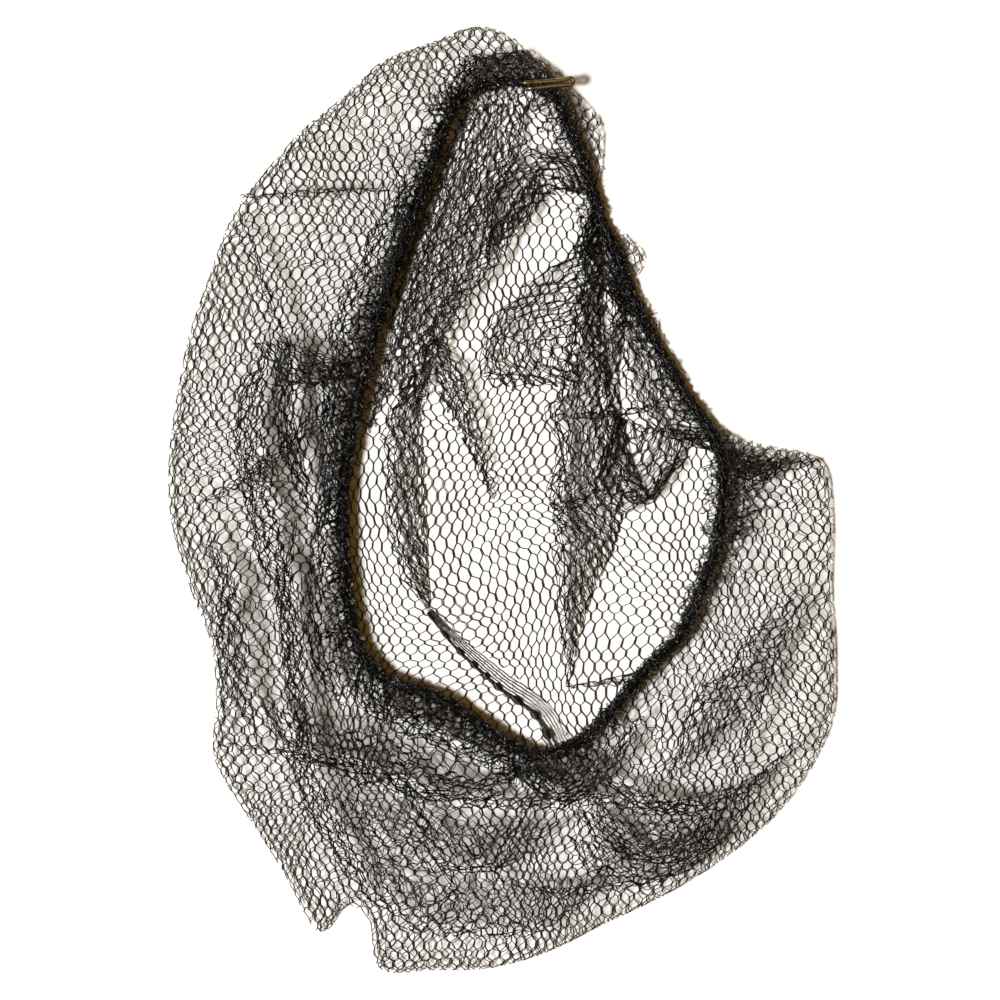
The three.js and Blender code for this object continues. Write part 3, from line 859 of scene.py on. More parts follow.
@dataclass(frozen=True)
class NylonThread:
    """Knitted nylon filament, dyed black: a faint blue shine where it catches light, and a fine twist.

    The twist is drawn coarser than a real one, so that it shows.
    """

    name: str
    dark: Dye
    pale: Dye
    roughness: float
    specular: float
    twist_mm: float
    blotch_mm: float = 9.0
    index: float = 1.53
    twist_strength: float = 0.35
    twist_depth_mm: float = 0.04

    def material(self) -> bpy.types.Material:
        """Makes the material: two dyes in soft blotches, and a bump that winds round each strand.

        The bump is the sine of the way along times the cosine of the way round, plus the cosine of the way
        along times the sine of the way round, which is the sine of both together.

        Returns:
            The material.
        """
        material, tree = blank(self.name)
        place = add(tree, "ShaderNodeTexCoord", {}).outputs["Object"]
        blotch = add(
            tree, "ShaderNodeTexNoise", {"Vector": place, "Scale": per_metre(self.blotch_mm), "Detail": 3.0}
        )
        dye = add(
            tree, "ShaderNodeMix",
            {"Factor": blotch.outputs["Fac"], "A": self.dark.linear(), "B": self.pale.linear()},
            data_type="RGBA",
        )
        lay = add(tree, "ShaderNodeAttribute", {}, attribute_name="lay").outputs["Vector"]
        parts = add(tree, "ShaderNodeSeparateXYZ", {"Vector": lay})
        wound = {0: parts.outputs["X"], 1: FULL_TURN / self.twist_mm}
        wind = add(tree, "ShaderNodeMath", wound, operation="MULTIPLY").outputs[0]
        sine = add(tree, "ShaderNodeMath", {0: wind}, operation="SINE").outputs[0]
        cosine = add(tree, "ShaderNodeMath", {0: wind}, operation="COSINE").outputs[0]
        level = {0: sine, 1: parts.outputs["Y"]}
        over = add(tree, "ShaderNodeMath", level, operation="MULTIPLY").outputs[0]
        both = {0: cosine, 1: parts.outputs["Z"], 2: over}
        twist = add(tree, "ShaderNodeMath", both, operation="MULTIPLY_ADD").outputs[0]
        depth = self.twist_depth_mm * MILLIMETRE
        relief = {"Height": twist, "Strength": self.twist_strength, "Distance": depth}
        bump = add(tree, "ShaderNodeBump", relief)
        shader = add(
            tree, "ShaderNodeBsdfPrincipled",
            {
                "Base Color": dye.outputs["Result"], "Roughness": self.roughness, "IOR": self.index,
                "Specular IOR Level": self.specular, "Normal": bump.outputs["Normal"],
            },
        )
        add(tree, "ShaderNodeOutputMaterial", {"Surface": shader.outputs["BSDF"]})
        return material


@dataclass(frozen=True)
class BrassWire:
    """Drawn brass wire that has darkened with age: warm bright metal under brown patches.

    Its drawing lines are drawn coarser than real ones, so that they show.
    """

    name: str = "aged_drawn_brass"
    bright: Dye = Dye("#b0a070")
    aged: Dye = Dye("#5a4e34")
    patch_mm: float = 2.2
    drawing_mm: float = 0.15
    drawing_strength: float = 0.2
    drawing_depth_mm: float = 0.02

    def material(self) -> bpy.types.Material:
        """Makes the material: aged patches in colour and roughness, and fine drawing lines as bump.

        Returns:
            The material.
        """
        material, tree = blank(self.name)
        place = add(tree, "ShaderNodeTexCoord", {}).outputs["Object"]
        patch = add(
            tree, "ShaderNodeTexNoise", {"Vector": place, "Scale": per_metre(self.patch_mm), "Detail": 4.0}
        )
        worn = add(
            tree, "ShaderNodeMapRange",
            {"Value": patch.outputs["Fac"], "From Min": 0.42, "From Max": 0.62, "To Min": 0.0, "To Max": 1.0},
        )
        colour = add(
            tree, "ShaderNodeMix",
            {"Factor": worn.outputs["Result"], "A": self.bright.linear(), "B": self.aged.linear()},
            data_type="RGBA",
        )
        rough = add(
            tree, "ShaderNodeMapRange",
            {"Value": patch.outputs["Fac"], "From Min": 0.3, "From Max": 0.7, "To Min": 0.22, "To Max": 0.45},
        )
        lines = add(
            tree, "ShaderNodeTexNoise", {"Vector": place, "Scale": per_metre(self.drawing_mm), "Detail": 2.0}
        )
        depth = self.drawing_depth_mm * MILLIMETRE
        relief = {"Height": lines.outputs["Fac"], "Strength": self.drawing_strength, "Distance": depth}
        bump = add(tree, "ShaderNodeBump", relief)
        shader = add(
            tree, "ShaderNodeBsdfPrincipled",
            {
                "Base Color": colour.outputs["Result"], "Metallic": 1.0,
                "Roughness": rough.outputs["Result"], "Normal": bump.outputs["Normal"],
            },
        )
        add(tree, "ShaderNodeOutputMaterial", {"Surface": shader.outputs["BSDF"]})
        return material


# Fine filament, which is dull in the loose netting and shines where it is packed or drawn tight
NETTING_NYLON = NylonThread("black_nylon_netting", Dye("#080809"), Dye("#121215"), 0.42, 0.2, 0.9)
CASING_NYLON = NylonThread("black_nylon_gathers", Dye("#040405"), Dye("#0b0b0e"), 0.2, 0.5, 0.8)
SEAM_NYLON = NylonThread("glossy_nylon_seam", Dye("#08080a"), Dye("#181920"), 0.25, 0.4, 0.6, 2.0)
# Rubber core under a wound cover, which takes the shine away
ELASTIC_RUBBER = NylonThread("black_covered_elastic", Dye("#040405"), Dye("#09090b"), 0.55, 0.2, 0.7)


def put(name: str, shape: Shape, material: bpy.types.Material, node: str) -> None:
    """Makes a mesh object of a shape, dresses it, hangs it on the root body and hides the CAD part it stands
    for.

    Args:
        name: Name of the piece.
        shape: Its mesh.
        material: Its finish.
        node: CAD node that the piece stands for.
    """
    mesh = bpy.data.meshes.new(name)
    mesh.vertices.add(len(shape.vertices))
    mesh.vertices.foreach_set("co", shape.vertices.ravel())
    mesh.loops.add(shape.quads.size)
    mesh.loops.foreach_set("vertex_index", shape.quads.ravel())
    mesh.polygons.add(len(shape.quads))
    mesh.polygons.foreach_set("loop_start", np.arange(0, shape.quads.size, 4))
    mesh.update(calc_edges=True)
    mesh.shade_smooth()
    mesh.attributes.new("lay", "FLOAT_VECTOR", "POINT").data.foreach_set("vector", shape.lay.ravel())
    mesh.materials.append(material)
    piece = bpy.data.objects.new(name, mesh)
    bpy.context.scene.collection.objects.link(piece)
    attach(piece, "root")
    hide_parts(node)
    log.info("%s: %d triangles for %s", name, 2 * len(shape.quads), node)


@dataclass
class CrownSeam:
    """The ladder of long shiny threads knitted in to the crown, up to the elastic, with a dark wound edge."""

    widths: tuple[float, ...] = (1.8, 3.8, 4.8, 5.4, 5.4)
    height: float = 0.34
    arch: float = 0.4
    end_rise: float = 3.6
    ribs: int = 7
    rib_points: int = 160
    rib_radius: float = 0.14
    crossings: int = 18
    crossing_points: int = 10
    crossing_radius: float = 0.06
    edge_strands: int = 10
    edge_points: int = 300
    edge_radius: float = 0.13
    edge_turns: int = 34
    knots: int = 9
    scatter: float = 0.012
    seed: int = 17
    least_height: float = 0.2
    line: np.ndarray = field(init=False)

    def __post_init__(self) -> None:
        """Runs the seam's middle line through its points in plan."""
        self.line = smooth(np.array(SEAM_LINE), 20, closed=False)

    def width_at(self, share: np.ndarray) -> np.ndarray:
        """Reads the seam's width at shares of its length."""
        return np.interp(share, np.linspace(0, 1, len(self.widths)), self.widths)

    def covers(self, points: np.ndarray) -> np.ndarray:
        """Tells which plan points lie under the seam, where the ladder takes the place of the netting."""
        place = nearest(points, self.line)
        return place.distance < 0.5 * self.width_at(place.along / (len(self.line) - 1))

    def surface(self, share: np.ndarray, across: np.ndarray) -> np.ndarray:
        """Places points on the seam by their share of its length and of its width.

        The seam is arched a little across, and rises by the eighth power of the share.

        Args:
            share: From 0 at the crown to 1 at the elastic.
            across: From -0.5 on the left to 0.5 on the right.

        Returns:
            Points with a last axis of 3.
        """
        place = share * (len(self.line) - 1)
        corner = np.arange(len(self.line))
        ahead = unit(np.gradient(self.line, axis=0))
        x, y, ahead_x, ahead_y = (np.interp(place, corner, column) for column in (*self.line.T, *ahead.T))
        width = self.width_at(share)
        z = self.height + self.end_rise * share**8 - self.arch * across**2
        return np.stack([x + ahead_y * width * across, y - ahead_x * width * across, z], axis=-1)

    def long_threads(self) -> Strands:
        """Lays the ribs side by side: each sways across by two sines of its share and bobs by a third.

        Returns:
            The ribs.
        """
        share = np.linspace(0, 1, self.rib_points)[None, :]
        across = np.linspace(-0.5, 0.5, self.ribs)[:, None]
        wave = 0.016 * np.sin(60 * share + 9 * across) + 0.01 * np.sin(151 * share + 31 * across)
        lines = self.surface(np.broadcast_to(share, (self.ribs, self.rib_points)), across + wave)
        lines[..., 2] += 0.05 * np.sin(FULL_TURN * 38 * share + 40 * across)
        return lines_to_strands(lines, self.rib_radius)

    def cross_threads(self) -> Strands:
        """Lays the short threads under the ribs: each one's share of the length sways by a sine across.

        Returns:
            The threads.
        """
        place = np.linspace(0, 1, self.crossings)[:, None]
        weft = np.linspace(-0.52, 0.52, self.crossing_points)[None, :]
        slant = place + 0.008 * np.sin(FULL_TURN * (3 * weft + 0.5 * np.arange(self.crossings)[:, None]))
        lines = self.surface(np.clip(slant, 0, 1), np.broadcast_to(weft, slant.shape))
        lines[..., 2] -= self.crossing_radius
        return lines_to_strands(lines, self.crossing_radius)

    def wound_edge(self) -> Strands:
        """Winds strands round the seam's right edge, as a helix that widens at each knot.

        A knot is the part of a sine of the share that is above zero, to the power of 0.6.

        Returns:
            The wound strands.
        """
        chance = np.random.default_rng(self.seed)
        share = np.linspace(0, 1, self.edge_points)[None, :]
        knot = np.clip(np.sin(FULL_TURN * self.knots * share + 0.8 * np.sin(9 * share)), 0, 1) ** 0.6
        strand = np.arange(self.edge_strands)[:, None]
        wind = FULL_TURN * (self.edge_turns * share + strand / self.edge_strands)
        winding = 0.1 + (0.05 + 0.15 * knot) * np.sin(wind)
        winding = winding + chance.normal(0, self.scatter, winding.shape)
        lines = self.surface(np.broadcast_to(share, winding.shape), 0.5 - winding)
        lifted = lines[..., 2] + 0.3 * knot + (0.1 + 0.4 * knot) * np.cos(wind)
        lines[..., 2] = np.maximum(lifted, self.least_height)
        return lines_to_strands(lines, self.edge_radius)

    def build(self, shift: np.ndarray) -> None:
        """Builds the long threads, the short ones across them, and the edge wound with dark knots."""
        strands = joined([self.long_threads(), self.cross_threads(), self.wound_edge()]).moved(shift)
        put("crown_seam", thread(strands), SEAM_NYLON.material(), "seam_strip")


@dataclass
class Netting:
    """The pouch of netting: a lower layer with loose folds, and an upper layer gathered in to the elastic."""

    outline: Outline
    seam: CrownSeam
    weave: Weave = field(default_factory=Weave)
    lower_radius: float = 0.155
    upper_radius: float = 0.17
    fold_radius: float = 0.165
    plan_width: float = 290.0
    plan_length: float = 380.0
    upper_turn: float = -5.0
    drift: float = 1.7
    drift_wave: float = 55.0
    unevenness: float = 0.3
    unevenness_wave: float = 13.0
    scatter: float = 0.08
    lower_seed: int = 11
    upper_seed: int = 23
    inner_fold_seed: int = 100
    outer_fold_seed: int = 500
    ground: float = 0.34
    lowest: float = 0.24
    bulge_height: float = 0.16
    bulge_wave: float = 30.0
    dimple_height: float = 0.06
    dimple_wave: float = 9.0
    ground_seed: int = 5
    upper_lowest: float = 0.4
    rim_height: float = 2.2
    rim_bend: float = 1.5
    rim_rise: float = 1.0
    rim_puff: float = 1.1
    swell_reach: float = 0.7
    swell_growth: float = 1.1
    spare_share: float = 0.45
    newton_steps: int = 8
    gathers: int = 34
    gather_height: float = 1.6
    gather_room: float = 40.0
    bunch: float = 1.9
    bunch_reach: float = 12.0
    free_reach: float = 5.0
    crumple: float = 0.5
    crumple_wave: float = 8.0
    crumple_height_wave: float = 16.0
    crumple_seed: int = 41

    def uneven(self, plane: np.ndarray, pulls: tuple[Pull, ...], seed: int) -> np.ndarray:
        """Pulls a flat sheet of net out of true.

        Args:
            plane: The flat net, of shape (strands, points, 2).
            pulls: Patches that are turned or stretched.
            seed: Seed of the unevenness.

        Returns:
            Plan points of shape (strands * points, 2).
        """
        chance = np.random.default_rng(seed)
        points = plane.reshape(-1, 2)
        wide = ripple(points, self.drift_wave, seed)
        narrow = ripple(points, self.unevenness_wave, seed + 1)
        points = points + self.drift * wide + self.unevenness * narrow
        points = points + chance.normal(0, self.scatter, points.shape)
        for patch in pulls:
            points = pull(points, patch)
        return points

    def lower_height(self, points: np.ndarray) -> np.ndarray:
        """Works out the lower layer's height: a little uneven, and bent up to the rim as an exponential.

        Args:
            points: Plan points of shape (n, 2).

        Returns:
            Height of the layer at each point.
        """
        inside = np.maximum(nearest(points, self.outline.rim).side, 0)
        bulge = ripple(points, self.bulge_wave, self.ground_seed)[:, 0]
        dimple = ripple(points, self.dimple_wave, self.ground_seed + 1)[:, 0]
        height = self.ground + self.bulge_height * bulge + self.dimple_height * dimple
        rise = self.rim_height - self.ground
        return np.maximum(height, self.lowest) + rise * np.exp(-inside / self.rim_bend)

    def lower(self) -> Strands:
        """Shapes the lower layer, which lies almost flat on the surface.

        Returns:
            The layer's strands.
        """
        plane = self.weave.sheet(self.plan_width, self.plan_length, 0)
        points = self.uneven(plane, LOWER_PULLS, self.lower_seed)
        rim = nearest(points, self.outline.rim)
        kept = to_the_edge((rim.side > 0).reshape(plane.shape[:2]))
        kept &= ~self.seam.covers(points).reshape(plane.shape[:2])
        points = np.where((rim.side > 0)[:, None], points, rim.foot)
        return cut_out(kept, np.column_stack([points, self.lower_height(points)]), self.lower_radius)

    def swell(self, share: np.ndarray, puff: np.ndarray, ring_height: np.ndarray) -> np.ndarray:
        """Works out the upper layer's height: a cubic Bezier curve up from the rim and down to the elastic.

        Its two handles lie a tenth and six tenths of the way in.

        Args:
            share: How far from the rim (0) to the elastic (1) each point lies.
            puff: Swell of the section that each point is in.
            ring_height: Height of the elastic there.

        Returns:
            Height of each point.
        """
        turn = np.linspace(0, 1, 60)
        reached = 0.3 * turn * (1 - turn) ** 2 + 1.8 * turn**2 * (1 - turn) + turn**3
        turn = np.interp(share, reached, turn)
        handle = self.rim_height + self.rim_rise + self.rim_puff * puff
        shoulder = ring_height + puff
        return (
            self.rim_height * (1 - turn) ** 3
            + 3 * handle * turn * (1 - turn) ** 2
            + 3 * shoulder * turn**2 * (1 - turn)
            + ring_height * turn**3
        )

    def upper_height(self, points: np.ndarray) -> np.ndarray:
        """Works out the upper layer's height at points in plan: its swell, and the waves of its gathers.

        Args:
            points: Plan points of shape (n, 2).

        Returns:
            Height of the layer at each point.
        """
        rim, ring = nearest(points, self.outline.rim), nearest(points, self.outline.ring)
        inside, outward = np.maximum(rim.side, 0), np.maximum(-ring.side, 0)
        share = inside / np.maximum(inside + outward, 1e-6)
        turn = self.gather_turn(ring)
        room = np.minimum((inside + outward) / self.gather_room, 1)
        puff, ring_height = (self.outline.read(kind, rim.along) for kind in (Measure.PUFF, Measure.HEIGHT))
        height = self.swell(share, puff, ring_height)
        height = height + room * self.gather_height * 2 * np.cos(turn) * share * np.sin(math.pi * share)
        free = np.minimum(np.minimum(outward, inside) / self.free_reach, 1)
        crumple = ripple(points, self.crumple_height_wave, self.crumple_seed)[:, 0]
        return np.maximum(height + free * self.crumple * crumple, self.upper_lowest)

    def gather_turn(self, ring: Place) -> np.ndarray:
        """Works out each point's place in the waves of the gathers, as an angle that sways a little."""
        turn = FULL_TURN * self.gathers * ring.along / (len(self.outline.ring) - 1)
        return turn + 1.3 * np.sin(turn * 5 / self.gathers)

    def upper(self) -> Strands:
        """Shapes the upper layer: up from the rim in a steep swell, and in to the gathers at the elastic.

        Netting that climbs the swell covers less plan. A point at a distance inside the rim on the flat net
        comes to lie where its new distance, less the spare times e to the minus new distance over spare, is
        the flat one. Newton's method finds it. Beside the elastic the net is bunched along it by a sine of
        the gathers' angle, uneven round the ring by another sine and fading out as an exponential.

        Returns:
            The layer's strands.
        """
        plane = self.weave.sheet(self.plan_width, self.plan_length, self.upper_turn)
        points = self.uneven(plane, UPPER_PULLS, self.upper_seed)
        rim = nearest(points, self.outline.rim)
        reach = self.swell_reach * (1 + self.swell_growth * self.outline.read(Measure.PUFF, rim.along))
        spare = self.spare_share * reach
        inside = np.maximum(rim.side, 0) + 0.5 * spare
        for _ in range(self.newton_steps):
            over = spare * np.exp(-inside / spare)
            inside = np.maximum(inside - (inside - over - rim.side) / (1 + over / spare), 0)
        within = rim.side > -spare
        points = np.where(within[:, None], rim.foot + rim.right * inside[:, None], rim.foot)
        ring = nearest(points, self.outline.ring)
        kept = to_the_edge((within & (ring.side < 0)).reshape(plane.shape[:2]))
        outward = np.maximum(-ring.side, 0)
        points = np.where((ring.side < 0)[:, None], points, ring.foot)
        turn = self.gather_turn(ring)
        ahead = np.stack([-ring.right[:, 1], ring.right[:, 0]], axis=1)
        fade = np.exp(-outward / self.bunch_reach)
        bunch = self.bunch * fade * (1 + 0.5 * np.sin(turn * 11 / self.gathers + 1.0))
        points = points + ahead * (bunch * np.sin(turn))[:, None]
        free = np.minimum(np.minimum(outward, inside) / self.free_reach, 1)
        crumple = ripple(points, self.crumple_wave, self.crumple_seed + 1)
        points = points + free[:, None] * self.crumple * crumple
        return cut_out(kept, np.column_stack([points, self.upper_height(points)]), self.upper_radius)

    def folds(self, flaps: dict[str, Flap], height_at: HeightAt, seed: int) -> Strands:
        """Lays loose folds over a layer.

        Args:
            flaps: The folds, by name.
            height_at: Gives the layer's height at points in plan.
            seed: Seed of the first fold's unevenness, from which the others count on in sevens.

        Returns:
            The strands of all the folds.
        """
        parts = []
        for number, (name, flap) in enumerate(flaps.items()):
            parts.append(flap.strands(self.weave, height_at, self.fold_radius, seed + 7 * number))
            log.debug("%s: a fold of %d points", name, len(parts[-1].points))
        return joined(parts)

    def build(self, shift: np.ndarray) -> None:
        """Builds both layers, each as a left and a right half, and the folds that lie on them.

        Args:
            shift: Shift in plan from the tables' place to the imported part's.
        """
        material = NETTING_NYLON.material()
        pieces = {"inner_folds": self.folds(INNER_FOLDS, self.lower_height, self.inner_fold_seed)}
        outer_folds = self.folds(OUTER_FOLDS, self.upper_height, self.outer_fold_seed)
        for layer, strands in (("lower", self.lower()), ("upper", self.upper()), ("folded", outer_folds)):
            first = np.r_[0, np.flatnonzero(np.diff(strands.number)) + 1]
            count = np.diff(np.r_[first, len(strands.number)])
            middle = np.repeat(np.add.reduceat(strands.points[:, 0], first) / count, count)
            for side in Side:
                chosen = (middle < 0) == (side is Side.LEFT)
                pieces[f"{layer}_netting_{side.value}"] = strands.picked(chosen)
        for name, strands in pieces.items():
            put(name, thread(strands.moved(shift)), material, "net")


@dataclass
class ElasticEdge:
    """The elastic cord, the edge of the netting wound tightly round it, and the gathers either side of it."""

    outline: Outline
    netting: Netting
    core_radius: float = 1.0
    core_points: int = 420
    core_sides: int = 10
    casing_radius: float = 1.5
    casing_scatter: float = 0.34
    casing_slip: float = 0.0012
    casing_twist: float = 0.3
    casing_seed: int = 3
    strand_radius: float = 0.17
    columns: int = 7
    courses: int = 350
    gather_wale: float = 1.7
    gather_course: float = 1.6
    gather_scatter: float = 0.28
    gather_bob: float = 0.2
    gather_lift: float = 0.2
    longest_gather: float = 1.7
    outer_hump: float = 0.9
    inner_hump: float = 0.3
    outer_seeds: tuple[int, ...] = (5, 6, 8)
    inner_seed: int = 7

    def frames(self, share: np.ndarray) -> tuple[np.ndarray, np.ndarray, np.ndarray]:
        """Finds places at shares of the way round the ring.

        Args:
            share: Shares of the ring's length, of any shape.

        Returns:
            Points in plan, outward directions, and places along the ring counted in corners.
        """
        line = self.outline.ring
        length = np.r_[0, np.cumsum(np.linalg.norm(np.diff(line, axis=0), axis=1))]
        place = (share % 1) * length[-1]
        point = np.stack([np.interp(place, length, line[:, axis]) for axis in (0, 1)], axis=-1)
        ahead = np.gradient(line, axis=0)
        ahead = unit(np.stack([np.interp(place, length, ahead[:, axis]) for axis in (0, 1)], axis=-1))
        along = np.interp(place, length, np.arange(len(line)))
        return point, np.stack([-ahead[..., 1], ahead[..., 0]], axis=-1), along

    def wrapped(self, share: np.ndarray, angle: np.ndarray, radius: np.ndarray) -> np.ndarray:
        """Places points round the cord, by their share of the way round, angle and distance from it.

        Args:
            share: Shares of the ring's length.
            angle: Angle round the cord, from 0 at its outer side.
            radius: Distance from the cord's middle.

        Returns:
            Points with a last axis of 3.
        """
        point, outward, along = self.frames(share)
        plan = point + outward * (radius * np.cos(angle))[..., None]
        height = self.outline.read(Measure.HEIGHT, along)
        return np.concatenate([plan, (height + radius * np.sin(angle))[..., None]], axis=-1)

    def casing(self) -> Strands:
        """Winds the edge of the netting round the cord.

        The net's columns lie round the cord, swayed by two sines of the way along it. The distance from the
        cord is the casing's radius times one plus two more sines, and each point is scattered a little.

        Returns:
            The casing's strands.
        """
        weave = Weave(wale=1.0, course=1.0, upright=0.5, strand_gap=0.03)
        flat = weave.strands(self.columns, self.courses)
        chance = np.random.default_rng(self.casing_seed)
        share = flat[..., 1] / self.courses + chance.normal(0, self.casing_slip, flat.shape[:2])
        turns = FULL_TURN * share
        angle = FULL_TURN * flat[..., 0] / self.columns
        angle = angle + 0.9 * np.sin(23 * turns) + 0.5 * np.sin(61 * turns + 1)
        angle = angle + chance.normal(0, self.casing_twist, angle.shape)
        bulge = 1 + 0.12 * np.sin(37 * turns + 2) + 0.14 * np.sin(167 * turns + angle)
        radius = self.casing_radius * bulge + chance.normal(0, self.casing_scatter, angle.shape)
        return lines_to_strands(self.wrapped(share, angle, radius), self.strand_radius)

    def gathers(self, reach_kind: Measure, seed: int) -> Strands:
        """Draws the netting beside the cord together, in small crumpled cells that run away from it.

        The cells end a reach away that the sections give, uneven along the cord. They start at the cord's
        height and come to that of the layer, in small waves.

        Args:
            reach_kind: REACH_OUT for gathers outside the cord, on the upper layer, REACH_IN for inside it.
            seed: Seed of their unevenness.

        Returns:
            The strands.
        """
        outwards = reach_kind is Measure.REACH_OUT
        chance = np.random.default_rng(seed)
        around = np.linalg.norm(np.diff(self.outline.ring, axis=0), axis=1).sum()
        columns = int(around / self.gather_wale)
        farthest = self.longest_gather * self.outline.table[:, reach_kind.value].max()
        courses = int(farthest / self.gather_course) + 2
        flat = Weave(wale=1.0, course=1.0, upright=0.5, strand_gap=0.06).strands(columns, courses)
        share = flat[..., 0] / columns
        away = flat[..., 1] * self.gather_course
        turns = FULL_TURN * share
        point, outward, along = self.frames(share)
        reach = self.outline.read(reach_kind, along)
        reach = reach * (1.1 + 0.4 * np.sin(47 * turns + seed) + 0.25 * np.sin(109 * turns)) + 0.3
        # A strand has three points in each course, and is cut between courses
        shown = away[:, ::3] + 0.5 * self.gather_course < reach[:, ::3]
        kept = np.repeat(shown, 3, axis=1)
        kept[:, 3:] |= np.repeat(shown, 3, axis=1)[:, :-3] & (np.arange(3, kept.shape[1]) % 3 == 0)
        gone = np.clip(away / reach, 0, 1)
        sway = 0.9 * np.sin(31 * turns + 0.3 * away) + 0.6 * np.sin(83 * turns + 0.5 * away)
        flow = np.stack([-outward[..., 1], outward[..., 0]], axis=-1)
        distance = 0.5 * self.core_radius + away
        plan = point + outward * (distance if outwards else -distance)[..., None] + flow * sway[..., None]
        plan = plan + chance.normal(0, self.gather_scatter, plan.shape)
        layer_height = self.netting.upper_height if outwards else self.netting.lower_height
        level = layer_height(plan.reshape(-1, 2)).reshape(gone.shape) + self.gather_lift
        height = self.outline.read(Measure.HEIGHT, along)
        crest = self.outer_hump if outwards else self.inner_hump
        hump = crest * np.sin(math.pi * gone) * (1 + 0.6 * np.sin(59 * turns + 0.8 * away))
        z = height + (level - height) * gone + hump + chance.normal(0, self.gather_bob, gone.shape)
        z = np.maximum(z, self.netting.ground)
        points = np.concatenate([plan, z[..., None]], axis=-1).reshape(-1, 3)
        return cut_out(kept, points, self.netting.fold_radius)

    def build(self, shift: np.ndarray) -> None:
        """Builds the cord, its casing and the gathers beside it, with more layers outside it than inside.

        Args:
            shift: Shift in plan from the tables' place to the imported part's.
        """
        count = self.core_points
        core = self.wrapped(np.arange(count) / count, np.zeros(count), np.zeros(count))
        core = Strands(core, np.zeros(count, int), np.full(count, self.core_radius)).moved(shift)
        cord = thread(core, self.core_sides, closed=True)
        put("elastic_cord", cord, ELASTIC_RUBBER.material(), "elastic")
        material = CASING_NYLON.material()
        put("gathered_edge", thread(self.casing().moved(shift)), material, "elastic")
        outer = [self.gathers(Measure.REACH_OUT, seed) for seed in self.outer_seeds]
        gathers = joined([*outer, self.gathers(Measure.REACH_IN, self.inner_seed)]).moved(shift)
        put("edge_gathers", thread(gathers), material, "net")


@dataclass
class WireClip:
    """The bent wire clip at the top of the edge, with both legs side by side and a small eye."""

    wire_radius: float = 0.66
    height: float = 8.17
    sides: int = 12
    steps: int = 12
    tip_points: int = 3
    tip_least: float = 0.08

    def build(self, shift: np.ndarray) -> None:
        """Builds the clip's wire, whose radius runs as a quarter circle over the points at each tip.

        Args:
            shift: Shift in plan from the tables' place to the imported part's.
        """
        plan = smooth(np.array(CLIP_LINE), self.steps, closed=False) + shift
        count = len(plan)
        points = np.column_stack([plan, np.full(count, self.height)])
        reach = np.minimum(np.arange(count), np.arange(count)[::-1])
        round_off = 1 - (1 - np.minimum(reach / self.tip_points, 1)) ** 2
        radius = self.wire_radius * np.sqrt(np.clip(round_off, self.tip_least, 1))
        wire = thread(Strands(points, np.zeros(count, int), radius), self.sides, closed=True)
        put("clip_wire", self.capped(wire, count), BrassWire().material(), "clip")

    def capped(self, wire: Shape, count: int) -> Shape:
        """Opens the ring of wire where its ends would join, and closes each end with a fan of quads.

        Args:
            wire: The wire as a ring.
            count: Number of points along it.

        Returns:
            The wire with two closed ends.
        """
        section = wire.quads // self.sides
        keep = section.max(1) - section.min(1) <= 1
        first = np.array([[0, side + 2, side + 1, side] for side in range(1, self.sides - 2, 2)])
        last = first[:, ::-1] + self.sides * (count - 1)
        return Shape(wire.vertices, np.concatenate([wire.quads[keep], first, last]), wire.lay)


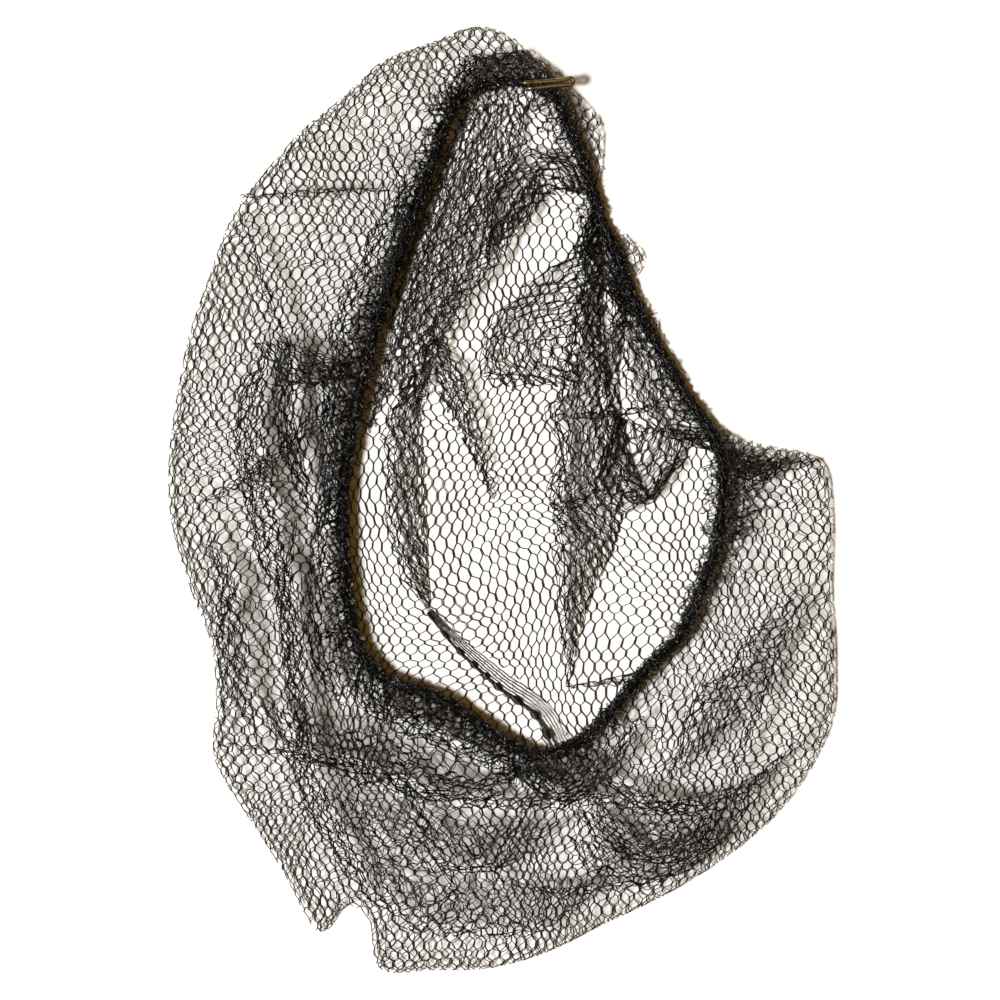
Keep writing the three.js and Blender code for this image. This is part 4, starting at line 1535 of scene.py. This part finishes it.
@dataclass
class Studio:
    """Plain pale floor, soft daylight from the left and a camera straight above the net."""

    paper: Dye = Dye("#f4f3f0")
    paper_roughness: float = 0.9
    floor_size: float = 6.0
    sun_heading: float = 197.0
    sun_height: float = 60.0
    sun_energy: float = 4.1
    sun_angle: float = 11.0
    fill: Dye = Dye("#b8904c")
    fill_strength: float = 0.32
    camera_height: float = 1.25
    camera_offset_mm: float = -0.3
    lens: float = 150.0
    sensor: float = 36.0

    def floor(self) -> None:
        """Lays a matt white floor under the net."""
        material, tree = blank("matt_white_paper")
        finish = {"Base Color": self.paper.linear(), "Roughness": self.paper_roughness}
        shader = add(tree, "ShaderNodeBsdfPrincipled", finish)
        add(tree, "ShaderNodeOutputMaterial", {"Surface": shader.outputs["BSDF"]})
        half = self.floor_size / 2
        corners = [(-half, -half, 0), (half, -half, 0), (half, half, 0), (-half, half, 0)]
        mesh = bpy.data.meshes.new("floor")
        mesh.from_pydata(corners, [], [(0, 1, 2, 3)])
        mesh.materials.append(material)
        plane = bpy.data.objects.new("floor", mesh)
        bpy.context.scene.collection.objects.link(plane)

    def light(self) -> None:
        """Sets a broad sun and a warm fill that leaves shadows tan, with a white background."""
        sun = bpy.data.lights.new("key_light", "SUN")
        sun.energy = self.sun_energy
        sun.angle = math.radians(self.sun_angle)
        lamp = bpy.data.objects.new("key_light", sun)
        lamp.rotation_euler = (0, math.radians(90 - self.sun_height), math.radians(self.sun_heading))
        bpy.context.scene.collection.objects.link(lamp)
        world = bpy.data.worlds.new("studio")
        world.use_nodes = True
        tree = world.node_tree
        tree.nodes.clear()
        warm = {"Color": self.fill.linear(), "Strength": self.fill_strength}
        fill = add(tree, "ShaderNodeBackground", warm)
        plain = add(tree, "ShaderNodeBackground", {"Color": (1, 1, 1, 1), "Strength": 1.0})
        seen = add(tree, "ShaderNodeLightPath", {}).outputs["Is Camera Ray"]
        both = add(tree, "ShaderNodeMixShader", {0: seen, 1: fill.outputs[0], 2: plain.outputs[0]})
        add(tree, "ShaderNodeOutputWorld", {"Surface": both.outputs[0]})
        bpy.context.scene.world = world

    def camera(self, shift: np.ndarray) -> None:
        """Hangs the camera straight above the middle of the picture.

        Args:
            shift: Shift in plan from the tables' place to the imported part's.
        """
        lens = bpy.data.cameras.new("camera")
        lens.lens = self.lens
        lens.sensor_width = self.sensor
        camera = bpy.data.objects.new("camera", lens)
        x, y = shift * MILLIMETRE
        camera.location = (x, y + self.camera_offset_mm * MILLIMETRE, self.camera_height)
        bpy.context.scene.collection.objects.link(camera)
        bpy.context.scene.camera = camera
        bpy.context.scene.view_settings.view_transform = "Standard"


def main() -> None:
    """Builds the studio and each sub-assembly in order."""
    logging.basicConfig(level=logging.INFO, format="%(name)s: %(message)s")
    outline = Outline()
    shift = outline.shift()
    studio = Studio()
    studio.camera(shift)
    studio.floor()
    studio.light()
    seam = CrownSeam()
    netting = Netting(outline, seam)
    netting.build(shift)
    ElasticEdge(outline, netting).build(shift)
    seam.build(shift)
    WireClip().build(shift)


if __name__ == "__main__":
    main()
